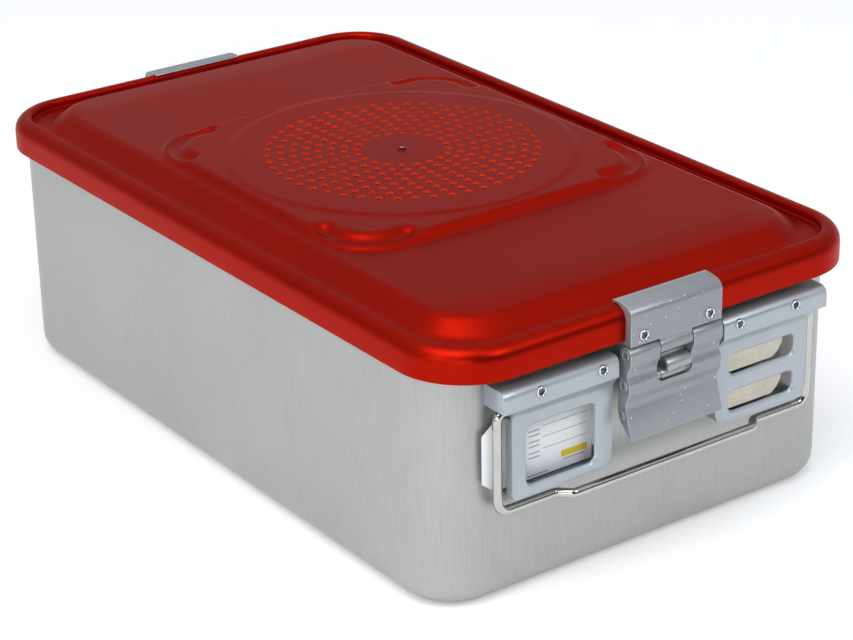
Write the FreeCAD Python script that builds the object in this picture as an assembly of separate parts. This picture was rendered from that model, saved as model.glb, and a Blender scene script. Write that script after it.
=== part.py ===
import FreeCAD, Part
import math
import os

# Rigid container for sterilizing surgical instruments. The long axis is X, the end seen with its
# latch is at +X, the bottom is at Z = 0. Sizes are in millimetres.

# Straight folds in each drawn or bent rounding
fold_count = 4

# How far cuts run past the surfaces they open
cut_past = 1.0

# Base tray
base_length = 434.0
base_width = 273.0
base_height = 138.6
base_wall = 2.0
base_corner_radius = 31.0
base_bottom_radius = 12.0
rim_band_height = 11.0
rim_band_thickness = 1.2

# Lid
lid_end_overhang = 15.5
lid_length = base_length + 2 * lid_end_overhang
lid_side_overhang = 3.5
lid_width = base_width + 2 * lid_side_overhang
lid_corner_radius = 40.0
lid_sheet = 1.5
lid_overlap = 7.6
lid_bottom = base_height - lid_overlap
lid_skirt_height = 18.0
lid_rim_top = lid_bottom + lid_skirt_height
rim_bead_width = 10.5
rim_bead_radius = 5.0
rim_bead_inner_radius = 4.3
valley_depth = 5.0
lid_valley = lid_rim_top - valley_depth
valley_width_end = 6.5
valley_width_side = 4.7
ramp_run = 13.0
plateau_rise = 9.0
plateau_height = lid_valley + plateau_rise
plateau_corner_radius = 24.0
platform_rise = 4.8
platform_height = plateau_height + platform_rise
platform_length = 209.0
platform_width = 208.0
platform_corner_radius = 30.0
platform_slope_run = 4.5
disc_radius = 100.5
disc_rise = 0.7

# Stacking hollows, one near each corner of the platform
hollow_centre = 74.0
hollow_inner_radius = 21.5
hollow_outer_radius = 31.5
hollow_start_angle = -12.0
hollow_end_angle = 102.0
hollow_depth = 4.2
hollow_floor = platform_height - hollow_depth

# Vent holes in the lid, in rings about its centre
vent_rings = 8
vent_first_radius = 26.2
vent_ring_pitch = 7.2
vent_first_count = 20
vent_count_step = 4
vent_hole_radius = 2.3
vent_side_count = 4

# Gasket, filter and filter cover inside the lid
gasket_width = 7.5
gasket_side_inset = 6.9
gasket_inner_side = base_width / 2 - gasket_side_inset
gasket_end_inset = 4.8
gasket_inner_end = base_length / 2 - gasket_end_inset
gasket_lift = 0.3
post_radius = 2.5
post_head_radius = 3.2
post_head_height = 1.0
post_collar_radius = 5.0
post_collar_height = 1.0
cover_radius = 96.0
cover_sheet = 1.2
cover_depth = 6.0
cover_slot_count = 8
cover_slot_width = 8.0
cover_slot_inner = 26.0
cover_slot_outer = 80.0
cover_hub_radius = 12.0
filter_thickness = 0.6
filter_radius = 93.0

# Brackets beside the latch, measured from the centre line
bracket_inner = 35.0
bracket_plate_outer = 98.5
bracket_channel_outer = 107.0
bracket_sheet = 1.5
bracket_drop = 14.1
bracket_top = base_height - bracket_drop
bracket_channel_reach = 17.0
bracket_plate_reach = 12.0
bracket_front_height = 10.5
bracket_front_bottom = bracket_top - bracket_front_height
bracket_slope_height = 7.0
bracket_plate_top = bracket_front_bottom - bracket_slope_height
bracket_height = 63.0
bracket_bottom = bracket_top - bracket_height
bracket_shoulder_radius = 4.5
bracket_inner_corner = 8.0
bracket_outer_corner = 3.0
channel_end_height = 11.5
channel_end_bottom = bracket_top - channel_end_height
inner_lip_depth = 6.0
outer_lip_depth = 5.0
window_bevel = 1.4
window_radius = 4.0
label_window_inner = 45.5
label_window_outer = 89.0
label_window_rise = 5.5
label_window_height = 33.0
tag_window_inner = 44.5
tag_window_outer = 90.0
tag_window_height = 11.4
tag_window_rise = 5.8
tag_window_pitch = 21.3
tag_window_bottoms = (bracket_bottom + tag_window_rise, bracket_bottom + tag_window_rise + tag_window_pitch)
ledge_depth = 5.0
ledge_rise = 1.5

# Rivets and their holes
rivet_side_count = 8
bracket_rivet_places = (45.5, 84.5)
bracket_rivet_drop = 4.7
bracket_rivet_height = bracket_top - bracket_rivet_drop
rivet_shank_radius = 1.5
rivet_head_radius = 2.7
rivet_head_top_radius = 1.7
rivet_head_height = 1.2
rivet_tail_height = 1.0
rivet_spacer_radius = 1.9
rivet_spacer_gap = 0.6
rivet_play = 0.05

# Carrying handle
wire_radius = 2.5
handle_axis_reach = 6.8
handle_axis_drop = 15.0
handle_axis_height = bracket_top - handle_axis_drop
handle_half_width = 104.0
handle_drop = 55.0
handle_corner_radius = 6.5
handle_elbow_radius = 5.0
handle_trunnion_end = 82.0
grip_half_width = 60.5
grip_kink_run = 6.5
grip_kink_radius = 4.0
grip_offset = 6.5
wire_side_count = 12
wire_step_count = 3
bearing_inner = 86.5
bearing_outer = 97.0
bearing_below = 3.9
bearing_bottom = handle_axis_height - bearing_below
bearing_above = 6.3
bearing_top = handle_axis_height + bearing_above
bearing_reach = 10.2
bearing_play = 0.05

# Tag spring behind the two windows
spring_sheet = 0.8
spring_reach = 9.2
spring_inner = 38.0
spring_outer = 84.0
spring_foot_width = 7.0
spring_tongue_height = 15.0
spring_tongue_radius = 12.0

# Label card
card_thickness = 0.6
card_reach = 2.6
card_inner = 41.0
card_outer = 110.5
card_bottom_play = 0.3
card_height = 38.4
card_corner_run = 8.0
card_corner_rise = 6.0

# Latch on the lid
latch_width = 61.0
plate_width = 60.0
plate_overhang = 2.4
plate_bottom = lid_bottom - plate_overhang
plate_thickness = 4.5
plate_shoulder_drop = 3.2
plate_shoulder = lid_rim_top - plate_shoulder_drop
plate_over_rim = 1.7
plate_lip_depth = 3.2
plate_lip_height = 2.1
plate_lip_chamfer = 0.8
plate_edge_play = 0.1
plate_tip_angle = 130.0
plate_slope_angle = 72.0
plate_rivet_spacing = 43.5
plate_rivet_rise = 5.0
plate_rivet_height = plate_bottom + plate_rivet_rise
notch_width = 22.6
notch_floor_drop = 1.8
notch_corner_radius = 3.0
knuckle_play = 0.8
knuckle_radius = 4.2
hinge_pin_reach = 0.9
hinge_pin_drop = 5.4
hinge_pin_z = plate_bottom - hinge_pin_drop
claw_pin_drop = 17.2
claw_pin_inset = 1.0
stop_pin_drop = 34.2
stop_pin_inset = 2.5
latch_pin_radius = 2.5
latch_pin_play = 0.05
pin_bore_side_count = 12
lever_top_radius = 4.3
lever_back_inset = 5.4
lever_tip_drop = 45.7
lever_tip_reach = 5.7

# Claw of the latch and its catch on the base
claw_width = 16.0
claw_barrel_radius = 3.5
claw_arm = 2.1
tube_radius = 3.3
tube_bore_radius = 2.0
tube_bore_depth = 4.0
tube_rise = 4.4
tube_start = -5.0
tube_leaf = 2.0
tube_leaf_rise = 10.5
claw_play = 0.3
claw_foot_drop = 20.5
claw_nose_height = 2.6
catch_width = 26.0
catch_sheet = 2.0
catch_rise = 6.0
catch_lip_drop = 11.5
catch_lip_reach = 6.0
catch_tip_height = 2.0
catch_rivet_spacing = 16.0
catch_rivet_drop = 2.0

# Places worked out from the sizes above
wall_x = base_length / 2
skirt_x = lid_length / 2
bracket_front = wall_x + bracket_channel_reach
bracket_plate = wall_x + bracket_plate_reach
handle_axis_x = wall_x + handle_axis_reach
hinge_pin_x = skirt_x + hinge_pin_reach
claw_pin_x = hinge_pin_x - claw_pin_inset
claw_pin_z = hinge_pin_z - claw_pin_drop
notch_floor = claw_pin_z - notch_floor_drop
catch_top = claw_pin_z + catch_rise
catch_lip_height = claw_pin_z - catch_lip_drop
catch_rivet_height = claw_pin_z - catch_rivet_drop
stop_pin_x = hinge_pin_x - stop_pin_inset
stop_pin_z = hinge_pin_z - stop_pin_drop
lever_back = hinge_pin_x - lever_back_inset
lid_inside_top = platform_height - lid_sheet
base_inside_x = wall_x - base_wall


def vec(x, y, z):
    return FreeCAD.Vector(x, y, z)


def box(x0, x1, y0, y1, z0, z1):
    return Part.makeBox(x1 - x0, y1 - y0, z1 - z0, vec(x0, y0, z0))


def cylinder_x(x0, x1, y, z, radius):
    return Part.makeCylinder(radius, x1 - x0, vec(x0, y, z), vec(1, 0, 0))


def cylinder_y(x, z, y0, y1, radius):
    return Part.makeCylinder(radius, y1 - y0, vec(x, y0, z), vec(0, 1, 0))


def cylinder_z(x, y, z0, z1, radius):
    return Part.makeCylinder(radius, z1 - z0, vec(x, y, z0))


def ring_of_sides(centre, across_a, across_b, radius, sides):
    """Closed wire with equal straight sides, whose flats lie at the given radius."""
    reach = radius / math.cos(math.pi / sides)
    corners = []
    for k in range(sides + 1):
        a = 2 * math.pi * (k % sides + 0.5) / sides
        corners.append(centre + across_a * (reach * math.cos(a)) + across_b * (reach * math.sin(a)))
    return Part.makePolygon(corners)


def bar_x(x0, x1, y, z, radius, sides):
    """Many-sided bar along X."""
    section = ring_of_sides(vec(x0, y, z), vec(0, 1, 0), vec(0, 0, 1), radius, sides)
    return Part.Face(section).extrude(vec(x1 - x0, 0, 0))


def bar_y(x, z, y0, y1, radius, sides):
    """Many-sided bar along Y."""
    section = ring_of_sides(vec(x, y0, z), vec(1, 0, 0), vec(0, 0, 1), radius, sides)
    return Part.Face(section).extrude(vec(0, y1 - y0, 0))


def rounded_polygon(points, radii, steps=0):
    """Closed wire through the points, each corner rounded by its own radius (0 leaves it sharp).

    With steps given, each rounding is drawn as that many straight folds."""
    count = len(points)
    starts = []
    ends = []
    middles = []
    for i in range(count):
        corner = points[i]
        back = (points[i - 1] - corner).normalize()
        ahead = (points[(i + 1) % count] - corner).normalize()
        if radii[i] == 0:
            starts.append(corner)
            ends.append(corner)
            middles.append(None)
            continue
        half = back.getAngle(ahead) / 2
        trim = radii[i] / math.tan(half)
        inward = (back + ahead).normalize()
        reach = radii[i] / math.sin(half) - radii[i]
        starts.append(corner + back * trim)
        ends.append(corner + ahead * trim)
        middles.append(corner + inward * reach)
    edges = []
    for i in range(count):
        if middles[i] is not None:
            arc = Part.Arc(starts[i], middles[i], ends[i]).toShape()
            edges += Part.makePolygon(arc.discretize(steps + 1)).Edges if steps else [arc]
        following = starts[(i + 1) % count]
        if (following - ends[i]).Length > 1e-6:
            edges.append(Part.LineSegment(ends[i], following).toShape())
    return Part.Wire(edges)


def rectangle_wire(half_x, half_y, radius, z):
    corners = [vec(x * half_x, y * half_y, z) for x, y in ((1, 1), (-1, 1), (-1, -1), (1, -1))]
    return rounded_polygon(corners, [radius] * 4)


def rounded_block(half_x, half_y, radius, z0, z1):
    return Part.Face(rectangle_wire(half_x, half_y, radius, z0)).extrude(vec(0, 0, z1 - z0))


def frustum(bottom, top):
    """Solid between two rounded rectangles, each given as half length, half width, radius and height."""
    return Part.makeLoft([rectangle_wire(*bottom), rectangle_wire(*top)], True, True)


def turned_block(half_x, half_y, radius, profile):
    """Rounded block whose side follows a profile of (outward offset, height) points."""
    sections = [rectangle_wire(half_x + out, half_y + out, radius + out, z) for out, z in profile]
    return Part.makeLoft(sections, True, True)


def quarter(bend, steps):
    """Points of a quarter round that leaves a side wall upwards, as (inward, upward) distances."""
    angles = [math.pi / 2 * k / steps for k in range(steps + 1)]
    return [(bend * (1 - math.cos(a)), bend * math.sin(a)) for a in angles]


def slab_y(outline, radii, y0, y1):
    """Prism along Y of an outline given as (x, z) points."""
    points = [vec(x, y0, z) for x, z in outline]
    return Part.Face(rounded_polygon(points, radii, fold_count)).extrude(vec(0, y1 - y0, 0))


def slab_x(outline, radii, x0, x1):
    """Prism along X of an outline given as (y, z) points."""
    points = [vec(x0, y, z) for y, z in outline]
    return Part.Face(rounded_polygon(points, radii, fold_count)).extrude(vec(x1 - x0, 0, 0))


def rear(shape):
    """The same piece at the other end of the container."""
    turned = shape.copy()
    turned.rotate(vec(0, 0, 0), vec(0, 0, 1), 180)
    return turned


def across(shape):
    """The same piece mirrored to the other side of the latch."""
    return shape.mirror(vec(0, 0, 0), vec(0, 1, 0))


def export(name, shape):
    shape.exportStep("parts/" + name + ".step")


def export_both_ends(name, shape):
    export("front_" + name, shape)
    export("rear_" + name, rear(shape))


def tub(inset, top):
    bend = base_bottom_radius - inset
    profile = [(-inward, inset + bend - upward) for inward, upward in reversed(quarter(bend, fold_count))]
    profile.append((0, top))
    return turned_block(wall_x - inset, base_width / 2 - inset, base_corner_radius - inset, profile)


def rivet_holes(places, height, radius):
    drill = [bar_x(base_inside_x - cut_past, skirt_x + plate_thickness + cut_past, y, height, radius,
                   rivet_side_count) for y in places]
    return Part.makeCompound(drill)


def base_tray():
    """Deep drawn tub with a folded rim band, open at the top."""
    half_y = base_width / 2
    band = rounded_block(wall_x + rim_band_thickness, half_y + rim_band_thickness,
                         base_corner_radius + rim_band_thickness, base_height - rim_band_height, base_height)
    body = tub(0, base_height).fuse(band).cut(tub(base_wall, base_height + 1))
    hole = rivet_shank_radius + rivet_play
    for y in bracket_rivet_places:
        drill = rivet_holes((y, -y), bracket_rivet_height, hole)
        body = body.cut(drill).cut(rear(drill))
    spots = (catch_rivet_spacing / 2, -catch_rivet_spacing / 2)
    drill = rivet_holes(spots, catch_rivet_height, hole)
    return body.cut(drill).cut(rear(drill))


def hollow(inset):
    """Kidney-shaped stacking hollow at one corner of the platform, with round ends."""
    inner = hollow_inner_radius - inset
    outer = hollow_outer_radius + inset
    middle = (inner + outer) / 2
    floor = hollow_floor - inset

    def spot(radius, angle, side=0.0):
        a = math.radians(angle)
        x = hollow_centre + radius * math.cos(a) - side * math.sin(a)
        y = hollow_centre + radius * math.sin(a) + side * math.cos(a)
        return vec(x, y, floor)

    half = (outer - inner) / 2
    bend = (hollow_start_angle + hollow_end_angle) / 2
    edges = [Part.Arc(spot(outer, hollow_start_angle), spot(outer, bend), spot(outer, hollow_end_angle)),
             Part.Arc(spot(outer, hollow_end_angle), spot(middle, hollow_end_angle, half),
                      spot(inner, hollow_end_angle)),
             Part.Arc(spot(inner, hollow_end_angle), spot(inner, bend), spot(inner, hollow_start_angle)),
             Part.Arc(spot(inner, hollow_start_angle), spot(middle, hollow_start_angle, -half),
                      spot(outer, hollow_start_angle))]
    face = Part.Face(Part.Wire([e.toShape() for e in edges]))
    return face.extrude(vec(0, 0, platform_height + disc_rise + 1 - floor))


def lid_form(inset, bottom):
    """Outer form of the lid, or the space inside its sheet when inset is the sheet's thickness."""
    rim = lid_rim_top - inset
    steps = fold_count if inset == 0 else 1
    bend = rim_bead_radius - inset
    side = [(-inward, rim - bend + upward) for inward, upward in quarter(bend, steps)]
    body = turned_block(skirt_x - inset, lid_width / 2 - inset, lid_corner_radius - inset, [(0, bottom)] + side)
    valley = lid_valley - inset
    bend = rim_bead_inner_radius - inset
    side = [(inward, rim - bend + upward) for inward, upward in quarter(bend, steps)]
    inner = rim_bead_width - inset
    body = body.cut(turned_block(skirt_x - inner, lid_width / 2 - inner, lid_corner_radius - inner,
                                 [(0, valley)] + side + [(bend, rim + 1)]))
    slope = inset * 0.6
    foot_x = skirt_x - rim_bead_width - valley_width_end - slope
    foot_y = lid_width / 2 - rim_bead_width - valley_width_side - slope
    plateau = frustum((foot_x, foot_y, plateau_corner_radius + ramp_run - slope, valley),
                      (foot_x - ramp_run, foot_y - ramp_run, plateau_corner_radius - slope,
                       plateau_height - inset))
    top_x = platform_length / 2 - slope
    top_y = platform_width / 2 - slope
    platform = frustum((top_x + platform_slope_run, top_y + platform_slope_run,
                        platform_corner_radius + platform_slope_run, plateau_height - inset),
                       (top_x, top_y, platform_corner_radius, platform_height - inset))
    body = body.fuse([plateau, platform])
    if inset == 0:
        body = body.fuse(cylinder_z(0, 0, plateau_height, platform_height + disc_rise, disc_radius))
    corner = hollow(inset)
    for x_side in (0, 1):
        for y_side in (0, 1):
            cutter = corner.copy()
            if x_side:
                cutter = cutter.mirror(vec(0, 0, 0), vec(1, 0, 0))
            if y_side:
                cutter = across(cutter)
            body = body.cut(cutter)
    return body


def vent_holes():
    """Staggered rings of punched holes, as many-sided prisms."""
    holes = []
    low = lid_inside_top - 1
    high = platform_height + disc_rise + 1
    for ring in range(vent_rings):
        radius = vent_first_radius + ring * vent_ring_pitch
        count = vent_first_count + ring * vent_count_step
        for k in range(count):
            angle = 2 * math.pi * (k + 0.5 * (ring % 2)) / count
            centre = vec(radius * math.cos(angle), radius * math.sin(angle), low)
            corners = []
            for s in range(vent_side_count + 1):
                turn = angle + 2 * math.pi * s / vent_side_count
                corners.append(centre + vec(math.cos(turn), math.sin(turn), 0) * vent_hole_radius)
            holes.append(Part.Face(Part.makePolygon(corners)).extrude(vec(0, 0, high - low)))
    return Part.makeCompound(holes)


def plate_rivet_spots():
    return (plate_rivet_spacing / 2, -plate_rivet_spacing / 2)


def lid_shell():
    body = lid_form(0, lid_bottom).cut(lid_form(lid_sheet, lid_bottom - 1))
    body = body.cut(vent_holes())
    body = body.cut(cylinder_z(0, 0, lid_inside_top - 1, platform_height + 3, post_radius + rivet_play))
    drill = rivet_holes(plate_rivet_spots(), plate_rivet_height, rivet_shank_radius + rivet_play)
    return body.cut(drill).cut(rear(drill))


def lid_gasket():
    """Rubber ring under the lid that closes on the rim of the tray."""
    low = base_height + gasket_lift
    high = lid_valley - lid_sheet
    inner_radius = base_corner_radius - base_wall
    outer = rounded_block(gasket_inner_end + gasket_width, gasket_inner_side + gasket_width,
                          inner_radius + gasket_width, low, high)
    return outer.cut(rounded_block(gasket_inner_end, gasket_inner_side, inner_radius, low - 1, high + 1))


def filter_post():
    """Rivet through the middle of the lid that carries the filter cover."""
    top = platform_height + disc_rise
    foot = lid_inside_top - filter_thickness - cover_depth - 3
    post = cylinder_z(0, 0, foot, top, post_radius)
    head = Part.makeCone(post_head_radius, post_radius * 0.6, post_head_height, vec(0, 0, top))
    collar = cylinder_z(0, 0, lid_inside_top - post_collar_height, lid_inside_top, post_collar_radius)
    return post.fuse([head, collar])


def filter_paper():
    high = lid_inside_top - card_bottom_play
    disc = cylinder_z(0, 0, high - filter_thickness, high, filter_radius)
    return disc.cut(cylinder_z(0, 0, high - 2, high + 1, post_collar_radius + card_bottom_play))


def filter_cover():
    """Shallow pressed pan with radial slots that holds the filter against the lid."""
    high = lid_inside_top - card_bottom_play
    low = high - cover_depth
    pan = cylinder_z(0, 0, low, high, cover_radius)
    pan = pan.cut(cylinder_z(0, 0, low + cover_sheet, high + 1, cover_radius - cover_sheet))
    seat = cylinder_z(0, 0, low, high - filter_thickness, cover_hub_radius)
    bore = cylinder_z(0, 0, low - 1, high + 1, post_radius + card_bottom_play)
    relief = cylinder_z(0, 0, high - filter_thickness - post_collar_height, high + 1,
                        post_collar_radius + card_bottom_play)
    slots = []
    for k in range(cover_slot_count):
        slot = box(cover_slot_inner, cover_slot_outer, -cover_slot_width / 2, cover_slot_width / 2,
                   low - cut_past, low + cover_sheet + cut_past)
        slot.rotate(vec(0, 0, 0), vec(0, 0, 1), 360 * k / cover_slot_count)
        slots.append(slot)
    return pan.fuse(seat).cut(bore).cut(relief).cut(Part.makeCompound(slots))


def bracket_form(inset, back):
    """Form of a pressed bracket on the +Y side: a channel above and a flat plate below."""
    front = bracket_front - inset
    plate = bracket_plate - inset
    top = bracket_top - inset
    low = bracket_bottom + inset
    inner = bracket_inner + inset
    shoulder = bracket_shoulder_radius - inset
    side = [(back, low), (plate, low), (plate, bracket_plate_top), (front, bracket_front_bottom),
            (front, top), (back, top)]
    radii = [0, 0, bracket_outer_corner, bracket_outer_corner, shoulder, 0]
    body = slab_y(side, radii, inner, bracket_plate_outer - inset)
    outer = bracket_plate_outer - inset
    view = [(inner, low), (outer, low), (outer, top + cut_past), (inner, top + cut_past)]
    corners = [bracket_inner_corner - inset, bracket_outer_corner - inset, 0, 0]
    body = body.common(slab_x(view, corners, back, front))
    end_low = channel_end_bottom if inset == 0 else channel_end_bottom - 1
    channel = [(back, end_low), (front, end_low), (front, top), (back, top)]
    return body.fuse(slab_y(channel, [0, 0, shoulder, 0], inner, bracket_channel_outer - inset))


def window_cutter(inner, outer, low, high):
    """Rounded window whose edge slopes inwards through the sheet."""
    def wire(x, grow):
        points = [vec(x, inner - grow, low - grow), vec(x, outer + grow, low - grow),
                  vec(x, outer + grow, high + grow), vec(x, inner - grow, high + grow)]
        return rounded_polygon(points, [window_radius + grow] * 4, fold_count)

    behind = bracket_plate - bracket_sheet
    front = Part.makeLoft([wire(bracket_plate, window_bevel), wire(behind, 0)], True, True)
    back = Part.Face(wire(behind, 0)).extrude(vec(-cut_past, 0, 0))
    return front.fuse(back)


def bracket_shell():
    body = bracket_form(0, wall_x).cut(bracket_form(bracket_sheet, wall_x - 1))
    plate_edge = bracket_plate_outer - bracket_sheet
    above_floor = bracket_bottom + bracket_sheet
    trim_outer = box(wall_x - 1, bracket_plate - outer_lip_depth, plate_edge - 0.5, bracket_plate_outer + 0.5,
                     above_floor, channel_end_bottom)
    trim_axle = box(wall_x - 1, bracket_plate - bracket_sheet, plate_edge - 0.5, bracket_plate_outer + 0.5,
                    bearing_bottom, channel_end_bottom)
    trim_inner = box(wall_x - 1, bracket_front - inner_lip_depth, bracket_inner - 0.5,
                     bracket_inner + bracket_sheet + 0.1, above_floor, bracket_top - bracket_sheet)
    body = body.cut([trim_outer, trim_axle, trim_inner])
    for y in bracket_rivet_places:
        body = body.cut(bar_x(wall_x, bracket_front + 1, y, bracket_rivet_height,
                              rivet_shank_radius + rivet_play, rivet_side_count))
    return body


def label_bracket():
    """Bracket with one window and a ledge that the label card stands on."""
    low = bracket_bottom + label_window_rise
    high = low + label_window_height
    body = bracket_shell().cut(window_cutter(label_window_inner, label_window_outer, low, high))
    floor = bracket_bottom + bracket_sheet
    ledge = box(wall_x, wall_x + ledge_depth, bracket_inner + bracket_inner_corner,
                bracket_plate_outer - bracket_outer_corner, floor, floor + ledge_rise)
    return across(body.fuse(ledge))


def tag_bracket():
    """Bracket with two slots one above the other."""
    body = bracket_shell()
    for low in tag_window_bottoms:
        body = body.cut(window_cutter(tag_window_inner, tag_window_outer, low, low + tag_window_height))
    return body


def tag_spring():
    """Spring sheet with two tongues that press a tag against its windows, on a foot on the wall."""
    front = wall_x + spring_reach
    back = front - spring_sheet
    pieces = []
    for low in tag_window_bottoms:
        top = low + spring_tongue_height - 2
        outline = [(spring_inner, low), (spring_outer, low), (spring_outer, top), (spring_inner, top)]
        radii = [0, spring_tongue_radius, spring_sheet, 0]
        pieces.append(slab_x(outline, radii, back, front))
    bottom = tag_window_bottoms[0]
    top = tag_window_bottoms[1] + spring_tongue_height - 2
    stem = box(back, front, spring_inner, spring_inner + spring_foot_width, bottom, top)
    web = box(wall_x, front, spring_inner, spring_inner + spring_sheet, bottom, top)
    foot = box(wall_x, wall_x + spring_sheet, spring_inner, spring_inner + spring_foot_width, bottom, top)
    return stem.fuse(pieces + [web, foot])


def rivet(y, z, head_face, tail_face):
    """Rivet along X with a tapered head on the outside and a flat tail on the inside."""
    foot = ring_of_sides(vec(head_face, y, z), vec(0, 1, 0), vec(0, 0, 1), rivet_head_radius, rivet_side_count)
    crown = ring_of_sides(vec(head_face + rivet_head_height, y, z), vec(0, 1, 0), vec(0, 0, 1),
                          rivet_head_top_radius, rivet_side_count)
    head = Part.makeLoft([foot, crown], True, True)
    tail_end = tail_face - rivet_tail_height
    shank = bar_x(tail_end, head_face + rivet_head_height / 2, y, z, rivet_shank_radius, rivet_side_count)
    return head.fuse([shank, bar_x(tail_end, tail_face, y, z, rivet_head_radius, rivet_side_count)])


def bracket_rivets():
    """Four long rivets, each with a spacer between the tray's wall and the bracket's front."""
    z = bracket_rivet_height
    spacer_end = bracket_front - bracket_sheet - rivet_spacer_gap
    rivets = []
    for place in bracket_rivet_places:
        for y in (place, -place):
            spacer = bar_x(wall_x, spacer_end, y, z, rivet_spacer_radius, rivet_side_count)
            rivets.append(rivet(y, z, bracket_front, base_inside_x).fuse(spacer))
    return Part.makeCompound(rivets)


def catch_rivets():
    spots = (catch_rivet_spacing / 2, -catch_rivet_spacing / 2)
    face = wall_x + catch_sheet
    return Part.makeCompound([rivet(y, catch_rivet_height, face, base_inside_x) for y in spots])


def plate_rivets():
    face = skirt_x + plate_thickness
    inside = skirt_x - lid_sheet
    return Part.makeCompound([rivet(y, plate_rivet_height, face, inside) for y in plate_rivet_spots()])


def handle_bearing():
    """Block on the wall that one end of the handle turns in."""
    block = box(wall_x, wall_x + bearing_reach, bearing_inner, bearing_outer, bearing_bottom, bearing_top)
    bore = cylinder_y(handle_axis_x, handle_axis_height, bearing_inner - 1, bearing_outer + 1,
                      wire_radius + bearing_play)
    return block.cut(bore)


def handle():
    """Bent steel wire: two axle ends, two legs and a grip set forward of the legs."""
    low = handle_axis_height - handle_drop
    grip_x = handle_axis_x + grip_offset
    knee = grip_half_width + grip_kink_run
    half = [vec(handle_axis_x, handle_trunnion_end, handle_axis_height),
            vec(handle_axis_x, handle_half_width, handle_axis_height),
            vec(handle_axis_x, handle_half_width, low),
            vec(handle_axis_x, knee, low),
            vec(grip_x, grip_half_width, low)]
    points = half + [vec(p.x, -p.y, p.z) for p in reversed(half)]
    bends = [0, handle_elbow_radius, handle_corner_radius, grip_kink_radius, grip_kink_radius]
    radii = bends + list(reversed(bends))
    path = [vec(points[0].x, bearing_outer + 1, points[0].z)]
    for i in range(1, len(points) - 1):
        corner = points[i]
        back = (points[i - 1] - corner).normalize()
        ahead = (points[i + 1] - corner).normalize()
        half_angle = back.getAngle(ahead) / 2
        centre = corner + (back + ahead).normalize() * (radii[i] / math.sin(half_angle))
        start = corner + back * (radii[i] / math.tan(half_angle)) - centre
        turn = FreeCAD.Rotation(start, corner + ahead * (radii[i] / math.tan(half_angle)) - centre)
        for k in range(wire_step_count + 1):
            share = FreeCAD.Rotation(turn.Axis, math.degrees(turn.Angle) * k / wire_step_count)
            path.append(centre + share.multVec(start))
    path.append(vec(points[0].x, -bearing_outer - 1, points[0].z))
    flat_radius = wire_radius * math.cos(math.pi / wire_side_count)
    section = ring_of_sides(path[0], vec(1, 0, 0), vec(0, 0, 1), flat_radius, wire_side_count)
    wire = Part.Wire(Part.makePolygon(path)).makePipeShell([section], True, False, 1)
    axles = [cylinder_y(handle_axis_x, handle_axis_height, *span, wire_radius)
             for span in ((handle_trunnion_end, path[0].y + 1), (path[-1].y - 1, -handle_trunnion_end))]
    return wire.fuse(axles)


def label_card():
    """Stiff card that stands in the label bracket and sticks out past it."""
    low = bracket_bottom + bracket_sheet + ledge_rise + card_bottom_play
    high = low + card_height
    tip = card_outer - card_corner_run
    outline = [(card_inner, low), (tip, low), (card_outer, low + card_corner_rise),
               (card_outer, high - card_corner_rise), (tip, high), (card_inner, high)]
    back = wall_x + card_reach
    return across(slab_x(outline, [0] * 6, back, back + card_thickness))


def pin_bore(x, z, y0, y1):
    """Many-sided bore for a latch pin, run past both faces."""
    return bar_y(x, z, y0 - cut_past, y1 + cut_past, latch_pin_radius + latch_pin_play, pin_bore_side_count)


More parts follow.
